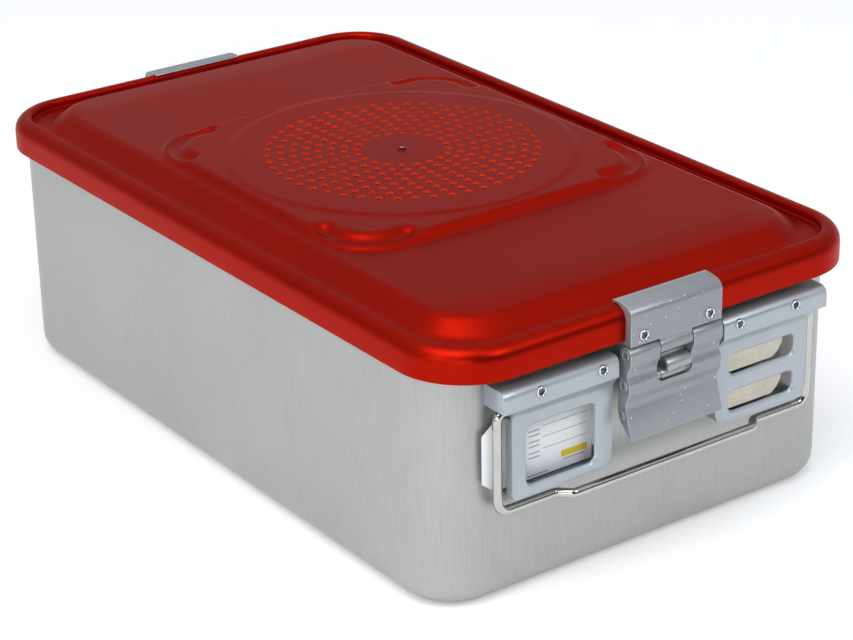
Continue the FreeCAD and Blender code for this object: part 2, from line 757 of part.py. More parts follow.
def latch_plate():
    """Extruded plate over the lid's rim, with a knuckle for the lever's hinge pin."""
    front = skirt_x + plate_thickness
    outside = (skirt_x - rim_bead_radius, lid_rim_top - rim_bead_radius, rim_bead_radius + rivet_play)
    inside = (skirt_x - rim_bead_width + rim_bead_inner_radius, lid_rim_top - rim_bead_inner_radius,
              rim_bead_inner_radius + rivet_play)

    def on_bead(side, angle, away=0.0):
        a = math.radians(angle)
        x = side[0] + (side[2] + away) * math.cos(a)
        return vec(x, -plate_width / 2, side[1] + (side[2] + away) * math.sin(a))

    def point(x, z):
        return vec(x, -plate_width / 2, z)

    lip = skirt_x - plate_lip_depth
    under = lid_bottom - plate_edge_play
    lip_top = plate_bottom + plate_lip_height - plate_lip_chamfer
    over = plate_over_rim
    edges = [Part.LineSegment(point(lip, plate_bottom), point(front, plate_bottom)),
             Part.LineSegment(point(front, plate_bottom), point(front, plate_shoulder)),
             Part.Arc(point(front, plate_shoulder), point(front - 1.6, plate_shoulder + 2.2),
                      on_bead(outside, plate_slope_angle, over)),
             Part.Arc(on_bead(outside, plate_slope_angle, over),
                      on_bead(outside, (plate_slope_angle + 90) / 2, over), on_bead(outside, 90, over)),
             Part.LineSegment(on_bead(outside, 90, over), on_bead(inside, 90, over)),
             Part.Arc(on_bead(inside, 90, over), on_bead(inside, 110, over),
                      on_bead(inside, plate_tip_angle, over)),
             Part.LineSegment(on_bead(inside, plate_tip_angle, over), on_bead(inside, plate_tip_angle)),
             Part.Arc(on_bead(inside, plate_tip_angle), on_bead(inside, 110), on_bead(inside, 90)),
             Part.LineSegment(on_bead(inside, 90), on_bead(outside, 90)),
             Part.Arc(on_bead(outside, 90), on_bead(outside, 45), on_bead(outside, 0)),
             Part.LineSegment(on_bead(outside, 0), point(skirt_x + rivet_play, under)),
             Part.LineSegment(point(skirt_x + rivet_play, under), point(lip, lip_top)),
             Part.LineSegment(point(lip, lip_top), point(lip, plate_bottom))]
    body = Part.Face(Part.Wire([e.toShape() for e in edges])).extrude(vec(0, plate_width, 0))
    half = notch_width / 2 - knuckle_play
    knuckle = cylinder_y(hinge_pin_x, hinge_pin_z, -half, half, knuckle_radius)
    web = box(lip + 0.5, hinge_pin_x + knuckle_radius - 1, -half, half, hinge_pin_z, plate_bottom + 0.5)
    bore = pin_bore(hinge_pin_x, hinge_pin_z, -half, half)
    body = body.fuse([knuckle, web]).cut(bore)
    return body.cut(rivet_holes(plate_rivet_spots(), plate_rivet_height, rivet_shank_radius + rivet_play))


def lever_face():
    """Side outline of the lever: round at the hinge, waved in front, drawn out to a finger tip."""
    y = -latch_width / 2

    def point(dx, dz):
        return vec(hinge_pin_x + dx, y, hinge_pin_z + dz)

    top = lever_top_radius
    back = -lever_back_inset
    wave = [(top, top, top - 0.1), (top, -4.6, 4.0), (1.2, -10.9, 6.0), (3.5, -15.4, 4.0), (3.5, -21.2, 4.0),
            (0.3, -27.4, 8.0)]
    tip = [(lever_tip_reach, -lever_tip_drop, 0), (lever_tip_reach - 0.9, -lever_tip_drop - 0.2, 0)]
    rest = [(back + 0.5, -36.0, 2.0), (back, -31.0, 2.0), (back + 0.7, -7.0, 2.0), (-top, top, top - 0.1)]
    corners = wave + tip + rest
    points = [point(dx, dz) for dx, dz, radius in corners]
    outline = rounded_polygon(points, [radius for dx, dz, radius in corners], fold_count)
    return Part.Face(outline)


def pin_places():
    return ((hinge_pin_x, hinge_pin_z), (claw_pin_x, claw_pin_z), (stop_pin_x, stop_pin_z))


def latch_lever():
    body = lever_face().extrude(vec(0, latch_width, 0))
    half = notch_width / 2
    high = hinge_pin_z + lever_top_radius + 1
    outline = [(-half, notch_floor), (half, notch_floor), (half, high), (-half, high)]
    radii = [notch_corner_radius, notch_corner_radius, 0, 0]
    body = body.cut(slab_x(outline, radii, lever_back - cut_past, hinge_pin_x + lever_tip_reach + cut_past))
    claw_half = claw_width / 2 + knuckle_play
    body = body.cut(cylinder_y(claw_pin_x, claw_pin_z, -claw_half, claw_half, claw_barrel_radius + claw_play))
    for x, z in pin_places():
        body = body.cut(pin_bore(x, z, -latch_width / 2, latch_width / 2))
    return body


def latch_pins():
    half = latch_width / 2
    return Part.makeCompound([cylinder_y(x, z, -half, half, latch_pin_radius) for x, z in pin_places()])


def latch_claw():
    """Hook that hangs on the middle pin behind the lever."""
    half = claw_width / 2
    barrel = cylinder_y(claw_pin_x, claw_pin_z, -half, half, claw_barrel_radius)
    arm_front = lever_back - claw_play
    arm_back = arm_front - claw_arm
    low = claw_pin_z - claw_foot_drop
    top = claw_pin_z + claw_barrel_radius
    nose = catch_nose_x()
    shank = [(arm_back, low), (arm_front, low), (arm_front, top), (arm_back, top)]
    arm = slab_y(shank, [0, 1.0, 0, 1.0], -half, half)
    bridge = box(arm_back, claw_pin_x, -half, half, claw_pin_z, top)
    foot = box(nose, arm_front - 0.5, -half, half, low, low + claw_nose_height)
    end = notch_width / 2 - knuckle_play
    bore = pin_bore(claw_pin_x, claw_pin_z, -half, end)
    tube_z = claw_pin_z + tube_rise
    tube = bar_y(claw_pin_x, tube_z, tube_start, end, tube_radius, pin_bore_side_count)
    leaf = box(claw_pin_x - tube_radius, claw_pin_x - tube_radius + tube_leaf, tube_start, end,
               tube_z, claw_pin_z + tube_leaf_rise)
    hollow_end = bar_y(claw_pin_x, tube_z, tube_start - cut_past, tube_start + tube_bore_depth,
                       tube_bore_radius, pin_bore_side_count)
    return barrel.fuse([arm, bridge, foot, tube, leaf]).cut([bore, hollow_end])


def catch_nose_x():
    """Where the claw's nose ends, just clear of the catch's lip."""
    return wall_x + catch_lip_reach + claw_play


def latch_catch():
    """Hook strip on the tray's end wall that the claw pulls against."""
    half = catch_width / 2
    lip_x = wall_x + catch_lip_reach
    bottom = catch_lip_height - catch_sheet
    tip = bottom - catch_tip_height
    face = wall_x + catch_sheet
    outline = [(wall_x, bottom), (lip_x - catch_sheet, bottom), (lip_x - catch_sheet, tip), (lip_x, tip),
               (lip_x, catch_lip_height), (face, catch_lip_height), (face, catch_top), (wall_x, catch_top)]
    radii = [0, 0, 0.5, 0.5, 1.0, 0.5, 1.0, 0]
    body = slab_y(outline, radii, -half, half)
    spots = (catch_rivet_spacing / 2, -catch_rivet_spacing / 2)
    return body.cut(rivet_holes(spots, catch_rivet_height, rivet_shank_radius + rivet_play))


def build():
    os.makedirs("parts", exist_ok=True)
    export("base_tray", base_tray())
    export("lid_shell", lid_shell())
    export("lid_gasket", lid_gasket())
    export("filter_post", filter_post())
    export("filter_paper", filter_paper())
    export("filter_cover", filter_cover())
    export_both_ends("label_bracket", label_bracket())
    export_both_ends("tag_bracket", tag_bracket())
    export_both_ends("tag_spring", tag_spring())
    export_both_ends("bracket_rivets", bracket_rivets())
    bearing = handle_bearing()
    export_both_ends("tag_side_bearing", bearing)
    export_both_ends("label_side_bearing", across(bearing))
    export_both_ends("handle", handle())
    export_both_ends("label_card", label_card())
    export_both_ends("latch_plate", latch_plate())
    export_both_ends("plate_rivets", plate_rivets())
    export_both_ends("latch_lever", latch_lever())
    export_both_ends("latch_pins", latch_pins())
    export_both_ends("latch_claw", latch_claw())
    export_both_ends("latch_catch", latch_catch())
    export_both_ends("catch_rivets", catch_rivets())


build()
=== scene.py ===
import math

import bmesh
import bpy
import numpy as np
from mathutils import Matrix, Vector


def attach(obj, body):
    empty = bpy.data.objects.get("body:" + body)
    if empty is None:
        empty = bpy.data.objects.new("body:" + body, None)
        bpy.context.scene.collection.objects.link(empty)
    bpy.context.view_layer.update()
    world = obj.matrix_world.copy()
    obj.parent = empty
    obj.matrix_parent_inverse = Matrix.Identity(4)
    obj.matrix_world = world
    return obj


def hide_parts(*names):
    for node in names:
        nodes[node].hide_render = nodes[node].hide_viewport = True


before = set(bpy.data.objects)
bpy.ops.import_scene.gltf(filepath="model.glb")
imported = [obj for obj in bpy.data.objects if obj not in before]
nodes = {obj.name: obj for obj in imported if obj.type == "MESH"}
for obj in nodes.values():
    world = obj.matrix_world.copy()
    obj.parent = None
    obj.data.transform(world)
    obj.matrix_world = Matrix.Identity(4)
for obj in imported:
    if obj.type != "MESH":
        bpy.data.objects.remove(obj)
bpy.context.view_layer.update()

# Camera. The container is seen from the side of one latched end, a little from above, with a long lens.
CAMERA_PLACE = (1.1320057, -0.7939960, 0.6699054)
CAMERA_ROUND = 54.3798
CAMERA_UP = 24.0018
CAMERA_ROLL = -1.0475
CAMERA_LENS = 2600.804 / 853 * 36
CAMERA_SHIFT = (-3.076 / 853, -3.400 / 853)

camera = bpy.data.objects.new("camera", bpy.data.cameras.new("camera"))
bpy.context.scene.collection.objects.link(camera)
camera.data.sensor_fit = "HORIZONTAL"
camera.data.sensor_width = 36
camera.data.lens = CAMERA_LENS
camera.data.shift_x = CAMERA_SHIFT[0]
camera.data.shift_y = CAMERA_SHIFT[1]
camera.data.clip_start = 0.05
camera.data.clip_end = 50
round_angle = math.radians(CAMERA_ROUND)
up_angle = math.radians(CAMERA_UP)
roll_angle = math.radians(CAMERA_ROLL)
camera.matrix_world = (Matrix.Translation(CAMERA_PLACE) @ Matrix.Rotation(round_angle, 4, "Z")
                       @ Matrix.Rotation(math.pi / 2 - up_angle, 4, "X")
                       @ Matrix.Rotation(roll_angle, 4, "Z"))
bpy.context.scene.camera = camera

# Studio. A plain white table under a soft sky that is darkest a little above the horizon, brightest overhead
# and almost unlit straight ahead of the near end. One soft box hangs above the near corner, a cooler one
# stands on the right, and there are weak ones on the left and low in front.
bpy.context.scene.view_settings.view_transform = "Standard"


def add_node(tree, kind, inputs=None, **settings):
    """Node whose inputs get constants, or links from sockets or from the first outputs of nodes."""
    node = tree.nodes.new(kind)
    for key, value in settings.items():
        setattr(node, key, value)
    for key, sources in (inputs or {}).items():
        for source in sources if isinstance(sources, list) else [sources]:
            if isinstance(source, bpy.types.Node):
                source = source.outputs[0]
            if isinstance(source, bpy.types.NodeSocket):
                tree.links.new(source, node.inputs[key])
            else:
                node.inputs[key].default_value = source
    return node


def add_math(tree, operation, a, b):
    return add_node(tree, "ShaderNodeMath", {0: a, 1: b}, operation=operation)


def set_ramp(ramp, stops):
    """Give a colour ramp node its (position, colour) stops."""
    elements = ramp.color_ramp.elements
    for stop in stops[1:-1]:
        elements.new(stop[0])
    for element, (position, colour) in zip(elements, stops):
        element.position = position
        element.color = (*colour, 1)


world = bpy.data.worlds.new("studio")
bpy.context.scene.world = world
world.use_nodes = True
sky = world.node_tree
sky_place = add_node(sky, "ShaderNodeTexCoord").outputs["Generated"]
sky_parts = add_node(sky, "ShaderNodeSeparateXYZ", {0: sky_place})
sky_ramp = add_node(sky, "ShaderNodeValToRGB", {0: sky_parts.outputs["Z"]})
set_ramp(sky_ramp, ((0.0, (0.60, 0.60, 0.60)), (0.12, (0.60, 0.60, 0.61)), (0.28, (0.44, 0.45, 0.47)),
                    (0.55, (0.60, 0.62, 0.66)), (1.0, (0.85, 0.88, 0.94))))
DIM_SIDE = (1.0, -0.15, 0.0)
sky_side = add_node(sky, "ShaderNodeVectorMath", {0: sky_place, 1: DIM_SIDE}, operation="DOT_PRODUCT")
sky_dim = add_node(sky, "ShaderNodeMapRange", {"Value": sky_side.outputs["Value"], "From Min": 0.55,
                                               "From Max": 0.78, "To Min": 1.0, "To Max": 0.06})
sky_light = sky.nodes["Background"]
sky.links.new(sky_ramp.outputs[0], sky_light.inputs["Color"])
sky.links.new(sky_dim.outputs[0], sky_light.inputs["Strength"])
sky_seen = add_node(sky, "ShaderNodeBackground", {"Color": (1, 1, 1, 1)})
sky_path = add_node(sky, "ShaderNodeLightPath").outputs
sky_both = add_node(sky, "ShaderNodeMixShader", {0: sky_path["Is Camera Ray"], 1: sky_light, 2: sky_seen})
sky.links.new(sky_both.outputs[0], sky.nodes["World Output"].inputs["Surface"])


def soft_box(name, place, target, size, power, colour=(1, 1, 1)):
    lamp = bpy.data.lights.new(name, "AREA")
    lamp.shape = "RECTANGLE"
    lamp.size, lamp.size_y = size
    lamp.energy = power
    lamp.color = colour
    holder = bpy.data.objects.new(name, lamp)
    bpy.context.scene.collection.objects.link(holder)
    aim = (Vector(target) - Vector(place)).to_track_quat("-Z", "Y")
    holder.matrix_world = Matrix.Translation(place) @ aim.to_matrix().to_4x4()
    return holder


soft_box("key_box", (0.45, -0.80, 1.55), (0.1, 0, 0.1), (1.2, 1.2), 13.5, (1.0, 0.99, 0.97))
soft_box("side_box", (1.35, 0.35, 1.25), (0.2, 0, 0.1), (0.6, 0.6), 7, (0.90, 0.95, 1.0))
soft_box("left_box", (0.7, -1.9, 0.75), (0.1, 0, 0.08), (0.9, 0.7), 5)
soft_box("front_box", (1.5, -1.25, 0.42), (0.2, 0, 0.1), (0.8, 0.5), 4)

floor_mesh = bpy.data.meshes.new("floor")
floor_mesh.from_pydata([(-9, -9, 0), (9, -9, 0), (9, 9, 0), (-9, 9, 0)], [], [(0, 1, 2, 3)])
floor = bpy.data.objects.new("floor", floor_mesh)
bpy.context.scene.collection.objects.link(floor)
FLOOR_GLOW = 0.26
floor_paint = bpy.data.materials.new("floor_paint")
floor_paint.use_nodes = True
floor_tree = floor_paint.node_tree
floor_shader = floor_tree.nodes["Principled BSDF"]
floor_shader.inputs["Base Color"].default_value = (0.82, 0.82, 0.82, 1)
floor_shader.inputs["Roughness"].default_value = 0.95
floor_shader.inputs["Specular IOR Level"].default_value = 0.0
floor_shader.inputs["Emission Color"].default_value = (1, 1, 1, 1)
floor_path = add_node(floor_tree, "ShaderNodeLightPath").outputs
floor_seen = floor_path["Is Camera Ray"]
for label in ("Is Transmission Ray", "Is Glossy Ray"):
    floor_seen = add_math(floor_tree, "MAXIMUM", floor_seen, floor_path[label])
floor_glow = add_math(floor_tree, "MULTIPLY", floor_seen, FLOOR_GLOW)
floor_tree.links.new(floor_glow.outputs[0], floor_shader.inputs["Emission Strength"])
floor_mesh.materials.append(floor_paint)

# Tray. The deep tray is drawn from one aluminium sheet, with a folded band round its rim, and anodised to
# a silky grey. Its walls keep fine upright marks from the drawing tool.
MM = 0.001
TRAY_HALF_X = 217.0
TRAY_HALF_Y = 136.5
TRAY_TOP = 138.6
TRAY_CORNER = 31.0
TRAY_BOTTOM_RADIUS = 12.0
TRAY_WALL = 2.0
BAND_LOW = 127.6
BAND_PROUD = 1.2
CORNER_STEPS = 14


def rounded_loop(half_x, half_y, radius, z, steps=CORNER_STEPS):
    """Level rounded rectangle as a list of points, in millimetres."""
    points = []
    for side_x, side_y, start in ((1, 1, 0), (-1, 1, 90), (-1, -1, 180), (1, -1, 270)):
        for k in range(steps + 1):
            a = math.radians(start + 90 * k / steps)
            x = side_x * (half_x - radius) + radius * math.cos(a)
            y = side_y * (half_y - radius) + radius * math.sin(a)
            points.append((x, y, z))
    return points


def add_loops(bm, loops, unit=MM):
    """Skin of quads through closed loops with the same number of points. Returns the loops' vertices."""
    rows = [[bm.verts.new(Vector(p) * unit) for p in loop] for loop in loops]
    count = len(rows[0])
    for low, high in zip(rows, rows[1:]):
        for k in range(count):
            after = (k + 1) % count
            bm.faces.new((low[k], low[after], high[after], high[k]))
    return rows


def plain_mesh(name, bm):
    mesh = bpy.data.meshes.new(name)
    bm.to_mesh(mesh)
    bm.free()
    return mesh


def shade_smooth(mesh, angle):
    """Smooth shading apart from edges sharper than the given angle in degrees."""
    for face in mesh.polygons:
        face.use_smooth = True
    mesh.set_sharp_from_angle(angle=math.radians(angle))


def make_object(name, bm, material, smooth=30.0):
    """Finished mesh as an object with its material."""
    mesh = plain_mesh(name, bm)
    shade_smooth(mesh, smooth)
    mesh.materials.append(material)
    piece = bpy.data.objects.new(name, mesh)
    bpy.context.scene.collection.objects.link(piece)
    return piece


def add_mix(tree, share, under, over):
    return add_node(tree, "ShaderNodeMix", {0: share, 6: under, 7: over}, data_type="RGBA").outputs[2]


def new_group(name, kind, inputs, outputs):
    """Node group with (label, type, value) inputs and (label, type) outputs. Returns it and its inputs."""
    tree = bpy.data.node_groups.new(name, kind + "NodeTree")
    for label, sort, value in inputs:
        socket = tree.interface.new_socket(label, in_out="INPUT", socket_type="NodeSocket" + sort)
        if value is not None:
            socket.default_value = value
    for label, sort in outputs:
        tree.interface.new_socket(label, in_out="OUTPUT", socket_type="NodeSocket" + sort)
    return tree, add_node(tree, "NodeGroupInput").outputs


# One look serves all the metals, the rubber and the paper: a tone with fine grain and soft blotches.
surface_look, look = new_group(
    "surface_look", "Shader",
    (("Stretch", "Vector", (1, 1, 1)), ("Grain", "Float", 900.0), ("Blotch", "Float", 20.0),
     ("Dark", "Color", None), ("Light", "Color", None), ("Smoothest", "Float", 0.3),
     ("Roughest", "Float", 0.4)),
    (("Color", "Color"), ("Roughness", "Float"), ("Height", "Float")))
look_place = add_node(surface_look, "ShaderNodeTexCoord").outputs["Object"]
look_mapping = add_node(surface_look, "ShaderNodeMapping", {"Vector": look_place, "Scale": look["Stretch"]})
look_grain = add_node(surface_look, "ShaderNodeTexNoise",
                      {"Vector": look_mapping, "Scale": look["Grain"], "Detail": 5})
look_blotch = add_node(surface_look, "ShaderNodeTexNoise",
                       {"Vector": look_place, "Scale": look["Blotch"], "Detail": 3})
look_blend = add_math(surface_look, "SUBTRACT", add_math(surface_look, "ADD", look_grain, look_blotch), 0.5)
look_share = add_node(surface_look, "ShaderNodeMapRange",
                      {"Value": look_blend, "From Min": 0.25, "From Max": 0.75})
look_polish = add_node(surface_look, "ShaderNodeMapRange",
                       {"Value": look_share, "To Min": look["Smoothest"], "To Max": look["Roughest"]})
add_node(surface_look, "NodeGroupOutput",
         {"Color": add_mix(surface_look, look_share, look["Dark"], look["Light"]), "Roughness": look_polish,
          "Height": look_grain})


def material_of(name, group, values=None, **constants):
    """Material with the colour of a group. Returns it, its shader and the group's node."""
    material = bpy.data.materials.new(name)
    material.use_nodes = True
    shader = material.node_tree.nodes["Principled BSDF"]
    for label, value in constants.items():
        shader.inputs[label].default_value = value
    surface = add_node(material.node_tree, "ShaderNodeGroup", values, node_tree=group)
    material.node_tree.links.new(surface.outputs["Color"], shader.inputs["Base Color"])
    return material, shader, surface


def finished(name, tone, spread, roughness, metallic, grain, blotch, bump, stretch=(1, 1, 1)):
    """Material whose tone, roughness and relief vary with stretched grain and soft blotches."""
    dark, light = ((*[c * k for c in tone], 1) for k in (1 - spread, 1 + spread))
    values = {"Stretch": stretch, "Grain": grain, "Blotch": blotch, "Dark": dark, "Light": light,
              "Smoothest": roughness[0], "Roughest": roughness[1]}
    material, shader, surface = material_of(name, surface_look, values, Metallic=metallic)
    relief = add_node(material.node_tree, "ShaderNodeBump",
                      {"Height": surface.outputs["Height"], "Strength": bump, "Distance": 0.2 * MM})
    material.node_tree.links.new(surface.outputs["Roughness"], shader.inputs["Roughness"])
    material.node_tree.links.new(relief.outputs[0], shader.inputs["Normal"])
    return material


tray_metal = finished("tray_metal", (0.42, 0.425, 0.41), spread=0.09, roughness=(0.36, 0.50), metallic=0.85,
                      grain=900, blotch=14, bump=0.25, stretch=(1, 1, 0.06))

arc = [math.radians(a) for a in range(0, 91, 15)]
turn_radius = TRAY_BOTTOM_RADIUS
tray_profile = [(turn_radius * (1 - math.sin(a)), turn_radius * (1 - math.cos(a))) for a in arc]
tray_profile += [(0, BAND_LOW - 0.3), (-0.3, BAND_LOW + 0.1), (0.3 - BAND_PROUD, BAND_LOW + 0.2),
                 (-BAND_PROUD, BAND_LOW + 0.6), (-BAND_PROUD, TRAY_TOP - 0.9),
                 (0.3 - BAND_PROUD, TRAY_TOP - 0.3), (0.9 - BAND_PROUD, TRAY_TOP),
                 (TRAY_WALL - 0.8, TRAY_TOP), (TRAY_WALL - 0.2, TRAY_TOP - 0.2), (TRAY_WALL, TRAY_TOP - 0.8)]
inner = turn_radius - TRAY_WALL
tray_profile += [(turn_radius - inner * math.cos(a), turn_radius - inner * math.sin(a)) for a in arc]
bm = bmesh.new()
tray_loops = [rounded_loop(TRAY_HALF_X - d, TRAY_HALF_Y - d, TRAY_CORNER - d, z) for d, z in tray_profile]
rows = add_loops(bm, tray_loops)
bm.faces.new(list(reversed(rows[0])))
bm.faces.new(rows[-1])
tray = make_object("tray", bm, tray_metal)
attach(tray, "base")
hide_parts("base_tray")

# Lid. The lid is one pressed sheet with a red coat: a skirt, a rolled rim, a valley, a plateau and a
# square platform that carries the round vent field and four crescent hollows for stacking.
LID_HALF_X = 232.5
LID_HALF_Y = 140.0
LID_CORNER = 40.0
LID_SHEET = 1.5
LID_BOTTOM = 131.0
LID_RIM = 149.0
BEAD_WIDTH = 10.5
BEAD_RADIUS = 8.0
BEAD_INNER_RADIUS = 2.5
VALLEY = 144.0
VALLEY_END = 6.5
VALLEY_SIDE = 4.7
RAMP_RUN = 13.0
PLATEAU = 153.0
PLATEAU_CORNER = 24.0
PLATFORM_RISE = 4.8
PLATFORM_HALF_X = 104.5
PLATFORM_HALF_Y = 104.0
PLATFORM_CORNER = 30.0
PLATFORM_RUN = 4.5
DISC_RADIUS = 100.5
DISC_RISE = 0.7
DISC_RUN = 1.8
HOLLOW_CENTRE = 74.0
HOLLOW_MIDDLE = 26.5
HOLLOW_HALF = 4.6
HOLLOW_START = -12.0
HOLLOW_END = 102.0
HOLLOW_FLOOR = 154.0
HOLLOW_RUN = 4.4
FIELD_RADIUS = 84.0


def soft_step(t, soft):
    """Straight ramp from 0 to 1 whose two ends are rounded over the given share."""
    def bend(x):
        return np.where(x < -soft, 0.0, np.where(x > soft, x, (x + soft) ** 2 / (4 * soft)))
    return bend(t) - bend(t - 1.0)


def lid_height(x, y):
    """Height of the pressed top inside the plateau's edge."""
    qx = np.abs(x) - (PLATFORM_HALF_X - PLATFORM_CORNER)
    qy = np.abs(y) - (PLATFORM_HALF_Y - PLATFORM_CORNER)
    outside = np.hypot(np.maximum(qx, 0), np.maximum(qy, 0)) - PLATFORM_CORNER
    outside = outside + np.minimum(np.maximum(qx, qy), 0)
    z = PLATEAU + PLATFORM_RISE * soft_step(1 - outside / PLATFORM_RUN, 0.3)
    z = z + DISC_RISE * soft_step((DISC_RADIUS - np.hypot(x, y)) / DISC_RUN, 0.35)
    dx = np.abs(x) - HOLLOW_CENTRE
    dy = np.abs(y) - HOLLOW_CENTRE
    angle = np.degrees(np.arctan2(dy, dx))
    on_arc = np.abs(np.hypot(dx, dy) - HOLLOW_MIDDLE)
    ends = []
    for end in (HOLLOW_START, HOLLOW_END):
        a = math.radians(end)
        ends.append(np.hypot(dx - HOLLOW_MIDDLE * math.cos(a), dy - HOLLOW_MIDDLE * math.sin(a)))
    inside = (angle > HOLLOW_START) & (angle < HOLLOW_END)
    away = np.where(inside, on_arc, np.minimum(ends[0], ends[1])) - HOLLOW_HALF
    depth = soft_step(0.5 - away / HOLLOW_RUN, 0.4)
    return z - np.maximum(z - HOLLOW_FLOOR, 0) * depth


lid_paint = finished("lid_paint", (0.36, 0.007, 0.0015), spread=0.06, roughness=(0.33, 0.42), metallic=0.97,
                     grain=1400, blotch=9, bump=0.12)
lid_paint.node_tree.nodes["Principled BSDF"].inputs["Specular Tint"].default_value = (1.0, 0.74, 0.72, 1)
# The sheet's cut faces, round the holes and along the hem, get a lighter, less metallic copy of the red:
# painted light on the hole walls.
lid_edge_lit_paint = finished("lid_edge_lit_paint", (0.80, 0.045, 0.008), spread=0.08, roughness=(0.30, 0.40),
                          metallic=0.25, grain=1400, blotch=9, bump=0.12)

# The vent field: rings of round holes, each ring four holes longer than the one inside it.
vent_tree, vent = new_group(
    "vent_field", "Geometry",
    (("Rings", "Int", 8), ("First Radius", "Float", 26.2 * MM), ("Ring Pitch", "Float", 7.2 * MM),
     ("First Count", "Int", 20), ("Count Step", "Int", 4), ("Hole Radius", "Float", 2.5 * MM),
     ("Field Radius", "Float", FIELD_RADIUS * MM), ("Post Radius", "Float", 2.55 * MM),
     ("Height", "Float", 0.0), ("Material", "Material", None)), (("Geometry", "Geometry"),))


def vent_node(kind, inputs=None):
    return add_node(vent_tree, "GeometryNode" + kind, inputs)


zone_in = vent_node("RepeatInput")
zone_out = vent_node("RepeatOutput")
zone_in.pair_with_output(zone_out)
vent_tree.links.new(vent["Rings"], zone_in.inputs["Iterations"])
ring_step = zone_in.outputs["Iteration"]
ring_growth = add_math(vent_tree, "MULTIPLY", ring_step, vent["Ring Pitch"])
count_growth = add_math(vent_tree, "MULTIPLY", ring_step, vent["Count Step"])
ring = vent_node("MeshCircle", {"Vertices": add_math(vent_tree, "ADD", vent["First Count"], count_growth),
                                "Radius": add_math(vent_tree, "ADD", vent["First Radius"], ring_growth)})
rings = vent_node("JoinGeometry", {0: [ring, zone_in.outputs["Geometry"]]})
vent_tree.links.new(rings.outputs[0], zone_out.inputs["Geometry"])
hole = vent_node("CurvePrimitiveCircle", {"Resolution": 12, "Radius": vent["Hole Radius"]})
points = vent_node("MeshToPoints", {"Mesh": zone_out.outputs["Geometry"]})
punched = vent_node("InstanceOnPoints", {"Points": points, "Instance": hole})
holes = vent_node("RealizeInstances", {0: punched})
outline = vent_node("CurvePrimitiveCircle", {"Resolution": 96, "Radius": vent["Field Radius"]})
post_hole = vent_node("CurvePrimitiveCircle", {"Resolution": 16, "Radius": vent["Post Radius"]})
filled = vent_node("FillCurve", {"Curve": vent_node("JoinGeometry", {0: [holes, outline, post_hole]})})
lift = add_node(vent_tree, "ShaderNodeCombineXYZ", {"Z": vent["Height"]})
raised = vent_node("Transform", {"Geometry": filled, "Translation": lift})
plain = vent_node("RealizeInstances", {0: raised})
coated = vent_node("SetMaterial", {0: plain, "Material": vent["Material"]})
add_node(vent_tree, "NodeGroupOutput", {"Geometry": coated})


def grown_mesh(name, tree, values):
    """Plain mesh of a Geometry Nodes tree run with these named inputs."""
    holder = bpy.data.objects.new(name, bpy.data.meshes.new(name))
    bpy.context.scene.collection.objects.link(holder)
    modifier = holder.modifiers.new(name, "NODES")
    modifier.node_group = tree
    for item in tree.interface.items_tree:
        if item.item_type == "SOCKET" and item.in_out == "INPUT" and item.name in values:
            modifier[item.identifier] = values[item.name]
    bpy.context.view_layer.update()
    seen = holder.evaluated_get(bpy.context.evaluated_depsgraph_get())
    mesh = bpy.data.meshes.new_from_object(seen)
    holder.modifiers.remove(modifier)
    bpy.data.objects.remove(holder)
    return mesh


field_height = PLATEAU + PLATFORM_RISE + DISC_RISE
field_mesh = grown_mesh("vent_field", vent_tree, {"Height": field_height * MM, "Material": lid_paint})

bm = bmesh.new()
bm.from_mesh(field_mesh)
bpy.data.meshes.remove(field_mesh)
bmesh.ops.recalc_face_normals(bm, faces=bm.faces)
if bm.faces[:][0].normal.z < 0:
    bmesh.ops.reverse_faces(bm, faces=bm.faces)
far = FIELD_RADIUS * MM * 0.99
field_edges = [e for e in bm.edges if e.is_boundary and all(v.co.xy.length > far for v in e.verts)]

GRID_HALF_X = 176.0
GRID_HALF_Y = 109.8
FINE_HALF_X = 112.5
FINE_STEP = 1.5
fine = np.arange(-FINE_HALF_X, FINE_HALF_X + 0.1, FINE_STEP)
coarse = np.linspace(-GRID_HALF_X, -FINE_HALF_X, 14)[:-1]
xs = np.concatenate([coarse, fine, -coarse[::-1]])
ys = np.linspace(-GRID_HALF_Y, GRID_HALF_Y, 147)
grid_x, grid_y = np.meshgrid(xs, ys, indexing="ij")
grid_z = lid_height(grid_x, grid_y)
kept = np.hypot(grid_x, grid_y) > FIELD_RADIUS + FINE_STEP
cells = kept[:-1, :-1] & kept[1:, :-1] & kept[:-1, 1:] & kept[1:, 1:]
grid_verts = {}


def grid_vert(i, j):
    if (i, j) not in grid_verts:
        grid_verts[i, j] = bm.verts.new((grid_x[i, j] * MM, grid_y[i, j] * MM, grid_z[i, j] * MM))
    return grid_verts[i, j]


for i, j in zip(*np.nonzero(cells)):
    bm.faces.new((grid_vert(i, j), grid_vert(i + 1, j), grid_vert(i + 1, j + 1), grid_vert(i, j + 1)))
grid_set = set(grid_verts.values())
bm.edges.ensure_lookup_table()
open_edges = [e for e in bm.edges if e.is_boundary and e.verts[0] in grid_set]
near = (GRID_HALF_Y - 1) * MM
inner_edges = [e for e in open_edges if e.verts[0].co.xy.length < 0.1 and abs(e.verts[0].co.y) < near]
outer_edges = [e for e in open_edges if e not in set(inner_edges)]
bmesh.ops.triangle_fill(bm, use_beauty=True, edges=field_edges + inner_edges, normal=(0, 0, 1))

